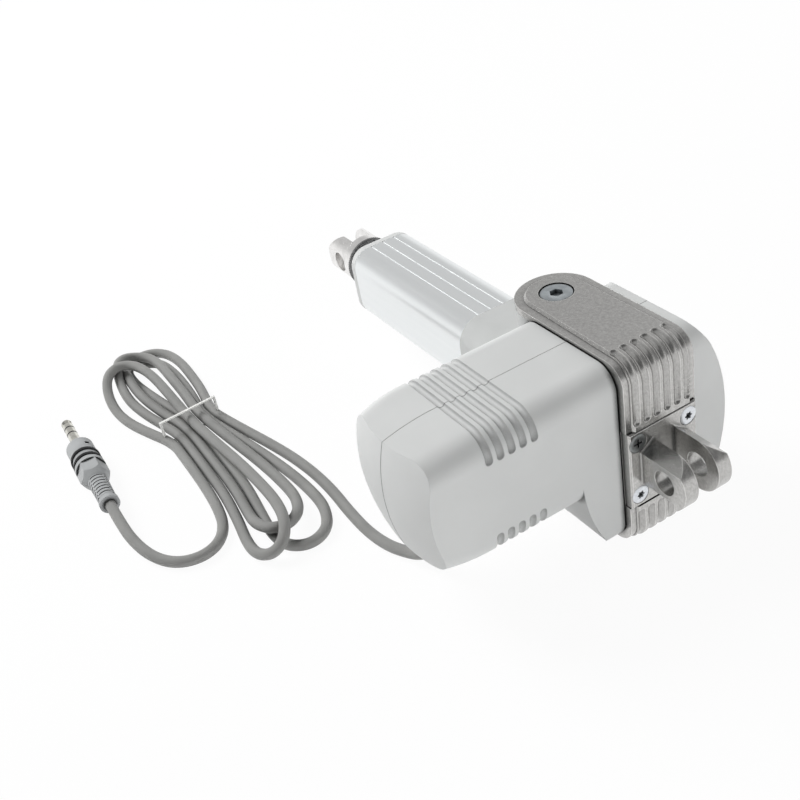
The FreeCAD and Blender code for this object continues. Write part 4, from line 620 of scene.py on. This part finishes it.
# Lead: one round plastic-sheathed cable from the gland under the motor to the plug. Its
# slack is folded into a loose hank, with four loops that fan out left of the tie and three right.
CORD_DIAMETER = 6.0 * MM
CORD_EXIT = (66.0, 96.0, -16.5)
LEAD_OUT = [
    (66, 96, -22), (66.8, 96.8, -28.5), (69.5, 98.6, -35), (74.6, 101, -39.9), (82.5, 103.8, -42.5),
    (94, 108.6, -43), (110, 111, -43), (130, 110.6, -43), (150, 109, -43), (170, 109.2, -43),
    (191, 111.5, -43), (212, 115.6, -43), (233, 120.6, -43), (252, 124.9, -43)]
LOOPS = [
    (269.5, 128.3, -43), (294, 123.6, -43), (316, 121.8, -43), (336, 121, -43), (352.5, 124, -43),
    (361.5, 132, -43), (362, 144, -43), (351, 152.4, -43), (334, 153.4, -43), (313, 150.6, -43),
    (288, 146, -43),
    (263.5, 140.4, -43), (225, 141.4, -43), (188, 142.8, -43), (160, 147, -43), (142, 149.6, -43),
    (128.5, 147.5, -43), (121.4, 137.5, -43), (126, 125.5, -43), (140.5, 118.8, -43), (158, 117.6, -43),
    (185, 119.4, -43), (225, 126, -43),
    (266.5, 134.4, -43), (290, 131, -43), (314, 129.2, -43), (333, 129.6, -43), (345.5, 132.6, -43),
    (352, 140.4, -43), (350, 149.4, -38.4), (341.5, 155.2, -35.8), (328, 157, -36.8), (308, 157, -38.8),
    (284, 152, -41.8),
    (260.5, 146.5, -43), (225, 147.6, -43), (190, 148.9, -43), (164, 152.4, -42), (150, 154.2, -38),
    (139.5, 151, -36.4), (135.6, 142.5, -36.6), (140.5, 133.6, -37), (152, 128.8, -38), (168, 127, -40.4),
    (196, 127.6, -42), (230, 132.6, -40),
    (265, 137.4, -37.6), (290, 135.3, -38), (312, 135, -37.2), (331, 134.6, -36.8), (343.5, 136.4, -36.6),
    (351.4, 142.4, -36), (351.8, 151.4, -33), (344, 158.8, -31.4), (329, 163, -36.4), (311, 164.4, -39.4),
    (293, 161, -42), (276, 156.4, -43),
    (257.5, 152.6, -43), (225, 153.7, -43), (190, 155.2, -43), (164, 158.8, -43), (146, 162.4, -43),
    (133, 162.6, -42.4), (125.4, 157, -40.4), (126, 149, -36), (135, 143, -31.4), (149, 140.8, -30.2),
    (166, 140.2, -31), (194, 140.3, -33), (230, 142, -36),
    (262, 143.5, -37.6), (288, 144.6, -33), (308, 145.4, -30.4), (324, 147.4, -29.8), (334.4, 152, -29.2),
    (337.4, 160.4, -28.6), (332.6, 168.6, -30), (323.5, 173.2, -35.4), (311, 174.6, -40.4),
    (297, 172.6, -43), (279, 167.6, -43)]
LEAD_IN = [
    (254.5, 158.7, -43), (236, 159.4, -43), (218, 160, -43), (200, 161, -43), (182, 162.8, -43),
    (166, 166.2, -43), (155, 174, -43), (151.6, 185.5, -43), (156.6, 197.6, -43), (169, 205.6, -42.4),
    (185.6, 209.7, -40), (203.7, 210, -37.2), (219.7, 209.1, -37.2)]
# Painted shade darkens the cord where its turns lie close together.
cord_grey = finish("cord_grey", (0.285, 0.285, 0.277), (0.25, 0.25, 0.243), patch=12.0, rough=(0.45, 0.55),
                   grain=0.5, depth=0.01, edge=0.0)
dress(cord_grey, "cable_gland")


def soft_line(name, points, diameter, material):
    """A round piece along one smooth line led by points in millimetres."""
    curve = bpy.data.curves.new(name, "CURVE")
    curve.dimensions = "3D"
    curve.resolution_u = 8
    curve.bevel_depth = diameter / 2
    curve.bevel_resolution = 5
    curve.use_fill_caps = True
    spline = curve.splines.new("NURBS")
    spline.points.add(len(points) - 1)
    for spot, point in zip(spline.points, points):
        spot.co = (point[0] * MM, point[1] * MM, point[2] * MM, 1.0)
    spline.order_u = 3
    spline.use_endpoint_u = True
    curve.materials.append(material)
    piece = bpy.data.objects.new(name, curve)
    scene.collection.objects.link(piece)
    return piece


cord = soft_line("cord", [CORD_EXIT] + LEAD_OUT + LOOPS + LEAD_IN, CORD_DIAMETER, cord_grey)
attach(cord, "housing")
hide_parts("cord_hank", "cord_lead", "cord_tail")


# Tie: a thin white plastic-covered wire that goes once round the middle of the hank and
# holds its turns together.
tie_white = finish("tie_white", (0.80, 0.80, 0.78), (0.74, 0.74, 0.72), patch=5.0, rough=(0.35, 0.45),
                   grain=0.4, depth=0.01, edge=0.1)
dress(tie_white, "cord_tie")


# Plug: a moulded boot, hexagon grip and collar in the same grey plastic, and a nickel-plated
# jack pin with two black insulating bands.
# Painted shade darkens the plug's hollows.
plug_grey = finish("plug_grey", (0.40, 0.41, 0.415), (0.355, 0.365, 0.37), patch=9.0, rough=(0.4, 0.5),
                   grain=0.4, depth=0.012, edge=0.3, hollow=(2.0, 0.02, 0.72))
pin_nickel = finish("pin_nickel", (0.74, 0.73, 0.67), (0.60, 0.59, 0.54), patch=3.0, rough=(0.08, 0.16),
                    metal=0.95, grain=0.3, depth=0.004, edge=0.15)
dress(plug_grey, "plug_boot", "plug_grip", "plug_body")
dress(soft_rubber, "pin_insulators")
dress(pin_nickel, "plug_pin")


# Plug seals: two moulded rings of black rubber, stretched into the collar's grooves, where they
# stand a little proud. With them the lead has all that rides on it.
PLUG_TURN = -3.2
SEAL_FLAT, SEAL_ROUND = 0.8, 0.37
SEAL_OUTER, SEAL_INNER = 8.2, 7.2
SEAL_STEPS = 72
QUARTER = (0, 30, 60, 90)
plug_place = Matrix.Translation(LEAD_IN[-1]) @ Matrix.Rotation(math.radians(PLUG_TURN), 4, "Z")
for name, middle in (("plug_seal_rear", 43.2), ("plug_seal_front", 49.2)):
    section = [(middle + side * (SEAL_FLAT + SEAL_ROUND * math.cos(math.radians(turn))),
                level + lift * SEAL_ROUND * math.sin(math.radians(turn)))
               for side, lift, level, turns in (
                   (1, 1, SEAL_OUTER, QUARTER), (-1, 1, SEAL_OUTER, QUARTER[::-1]),
                   (-1, -1, SEAL_INNER, QUARTER), (1, -1, SEAL_INNER, QUARTER[::-1]))
               for turn in turns]
    seal = turned_ring(name, section, soft_rubber, plug_place, SEAL_STEPS)
    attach(seal, "housing")
    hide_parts("plug_seals")


# Floor, light and camera: a plain pale floor and three soft white lamps, one high beyond the part,
# one low on the camera's side and one on the far side. The camera looks down from behind the motor.
FLOOR_Z = STRAP_BOTTOM * MM
FLOOR_REACH, FLOOR_SHARE = 3.0, 0.95


def background_share(tree, share):
    """A factor that is share for rays from the camera, mirrors and glass, and 0 for the light."""
    path = tree.nodes.new("ShaderNodeLightPath")
    seen = tree.nodes.new("ShaderNodeMath")
    seen.operation = "MAXIMUM"
    wire(tree, path.outputs["Is Camera Ray"], seen.inputs[0])
    wire(tree, path.outputs["Is Glossy Ray"], seen.inputs[1])
    clear = tree.nodes.new("ShaderNodeMath")
    clear.operation = "MAXIMUM"
    wire(tree, seen.outputs["Value"], clear.inputs[0])
    wire(tree, path.outputs["Is Transmission Ray"], clear.inputs[1])
    part = tree.nodes.new("ShaderNodeMath")
    part.operation = "MULTIPLY"
    part.inputs[1].default_value = share
    wire(tree, clear.outputs["Value"], part.inputs[0])
    return part.outputs["Value"]


floor_white = bpy.data.materials.new("floor_white")
floor_white.use_nodes = True
floor_tree = floor_white.node_tree
floor_shader = floor_tree.nodes["Principled BSDF"]
floor_shader.inputs["Base Color"].default_value = (0.85, 0.85, 0.85, 1.0)
floor_shader.inputs["Roughness"].default_value = 0.9
floor_glow = floor_tree.nodes.new("ShaderNodeEmission")
floor_mix = floor_tree.nodes.new("ShaderNodeMixShader")
wire(floor_tree, background_share(floor_tree, FLOOR_SHARE), floor_mix.inputs[0])
wire(floor_tree, floor_shader.outputs["BSDF"], floor_mix.inputs[1])
wire(floor_tree, floor_glow.outputs["Emission"], floor_mix.inputs[2])
wire(floor_tree, floor_mix.outputs["Shader"], floor_tree.nodes["Material Output"].inputs["Surface"])
floor_mesh = bpy.data.meshes.new("floor")
floor_mesh.from_pydata([(x * FLOOR_REACH, y * FLOOR_REACH, FLOOR_Z)
                        for x, y in ((-1, -1), (1, -1), (1, 1), (-1, 1))], [], [(0, 1, 2, 3)])
floor_mesh.materials.append(floor_white)
floor = bpy.data.objects.new("floor", floor_mesh)
scene.collection.objects.link(floor)

world = bpy.data.worlds.new("studio")
scene.world = world
world.use_nodes = True
world_tree = world.node_tree
ambient = world_tree.nodes["Background"]
ambient.inputs["Color"].default_value = (1.0, 1.0, 1.0, 1.0)
ambient.inputs["Strength"].default_value = 0.10
heading = world_tree.nodes.new("ShaderNodeTexCoord")
height = world_tree.nodes.new("ShaderNodeSeparateXYZ")
wire(world_tree, heading.outputs["Generated"], height.inputs["Vector"])


def blend_range(socket, low, high, start, end):
    """A smooth change from start to end while the socket's value runs from low to high."""
    node = world_tree.nodes.new("ShaderNodeMapRange")
    node.interpolation_type = "SMOOTHSTEP"
    for label, value in zip(("From Min", "From Max", "To Min", "To Max"), (low, high, start, end)):
        node.inputs[label].default_value = value
    wire(world_tree, socket, node.inputs["Value"])
    return node.outputs["Result"]


def combine(operation, first, second):
    """One number made of two by the world's own nodes."""
    node = world_tree.nodes.new("ShaderNodeMath")
    node.operation = operation
    wire(world_tree, first, node.inputs[0])
    wire(world_tree, second, node.inputs[1])
    return node.outputs["Value"]


above_table = blend_range(height.outputs["Z"], 0.08, 0.40, 0.0, 1.0)
under_roof = blend_range(height.outputs["Z"], 0.80, 0.95, 1.0, 0.6)
unlit = blend_range(height.outputs["X"], -0.35, 0.45, 0.84, 0.43)
window = blend_range(height.outputs["Y"], -0.85, -0.5, 0.0, 1.0)
dark_room = combine("MULTIPLY", combine("MULTIPLY", above_table, under_roof),
                    combine("MULTIPLY", unlit, window))
seen_world = world_tree.nodes.new("ShaderNodeMath")
seen_world.operation = "SUBTRACT"
seen_world.inputs[0].default_value = 1.0
wire(world_tree, dark_room, seen_world.inputs[1])
backdrop = world_tree.nodes.new("ShaderNodeBackground")
backdrop.inputs["Color"].default_value = (1.0, 1.0, 1.0, 1.0)
by_camera = world_tree.nodes.new("ShaderNodeLightPath")
seen_light = combine("MAXIMUM", seen_world.outputs["Value"], by_camera.outputs["Is Camera Ray"])
wire(world_tree, seen_light, backdrop.inputs["Strength"])
sky_mix = world_tree.nodes.new("ShaderNodeMixShader")
wire(world_tree, background_share(world_tree, 1.0), sky_mix.inputs[0])
wire(world_tree, ambient.outputs["Background"], sky_mix.inputs[1])
wire(world_tree, backdrop.outputs["Background"], sky_mix.inputs[2])
wire(world_tree, sky_mix.outputs["Shader"], world_tree.nodes["World Output"].inputs["Surface"])


def soft_lamp(name, spot, aim, size, watts):
    """A square soft lamp that faces a point; places in metres. Metal mirrors the room, not the lamp."""
    lamp = bpy.data.lights.new(name, "AREA")
    lamp.size = size
    lamp.energy = watts
    holder = bpy.data.objects.new(name, lamp)
    holder.location = spot
    holder.rotation_euler = (Vector(aim) - Vector(spot)).to_track_quat("-Z", "Y").to_euler()
    holder.visible_glossy = False
    scene.collection.objects.link(holder)


soft_lamp("key", (1.36, 0.78, 1.38), (0.12, 0.06, 0.0), 1.0, 49.0)
soft_lamp("fill", (-1.6, 0.12, 0.16), (0.1, 0.05, 0.0), 0.36, 12.0)
soft_lamp("side", (0.25, -1.7, 0.5), (0.1, 0.0, 0.0), 0.8, 11.0)

EYE = Vector((-0.294725, 0.268902, 0.331177))
FORWARD = Vector((0.73652, -0.35136, -0.57800))
UP = Vector((0.42705, -0.42113, 0.80017))
RIGHT = Vector((-0.52456, -0.83617, -0.16012))
lens = bpy.data.cameras.new("camera")
lens.sensor_width = 36.0
lens.lens = 51.161
lens.shift_x = -0.01072
lens.shift_y = 0.01455
lens.clip_start = 0.01
camera = bpy.data.objects.new("camera", lens)
camera.matrix_world = Matrix((
    (RIGHT.x, UP.x, -FORWARD.x, EYE.x),
    (RIGHT.y, UP.y, -FORWARD.y, EYE.y),
    (RIGHT.z, UP.z, -FORWARD.z, EYE.z),
    (0.0, 0.0, 0.0, 1.0)))
scene.collection.objects.link(camera)
scene.camera = camera
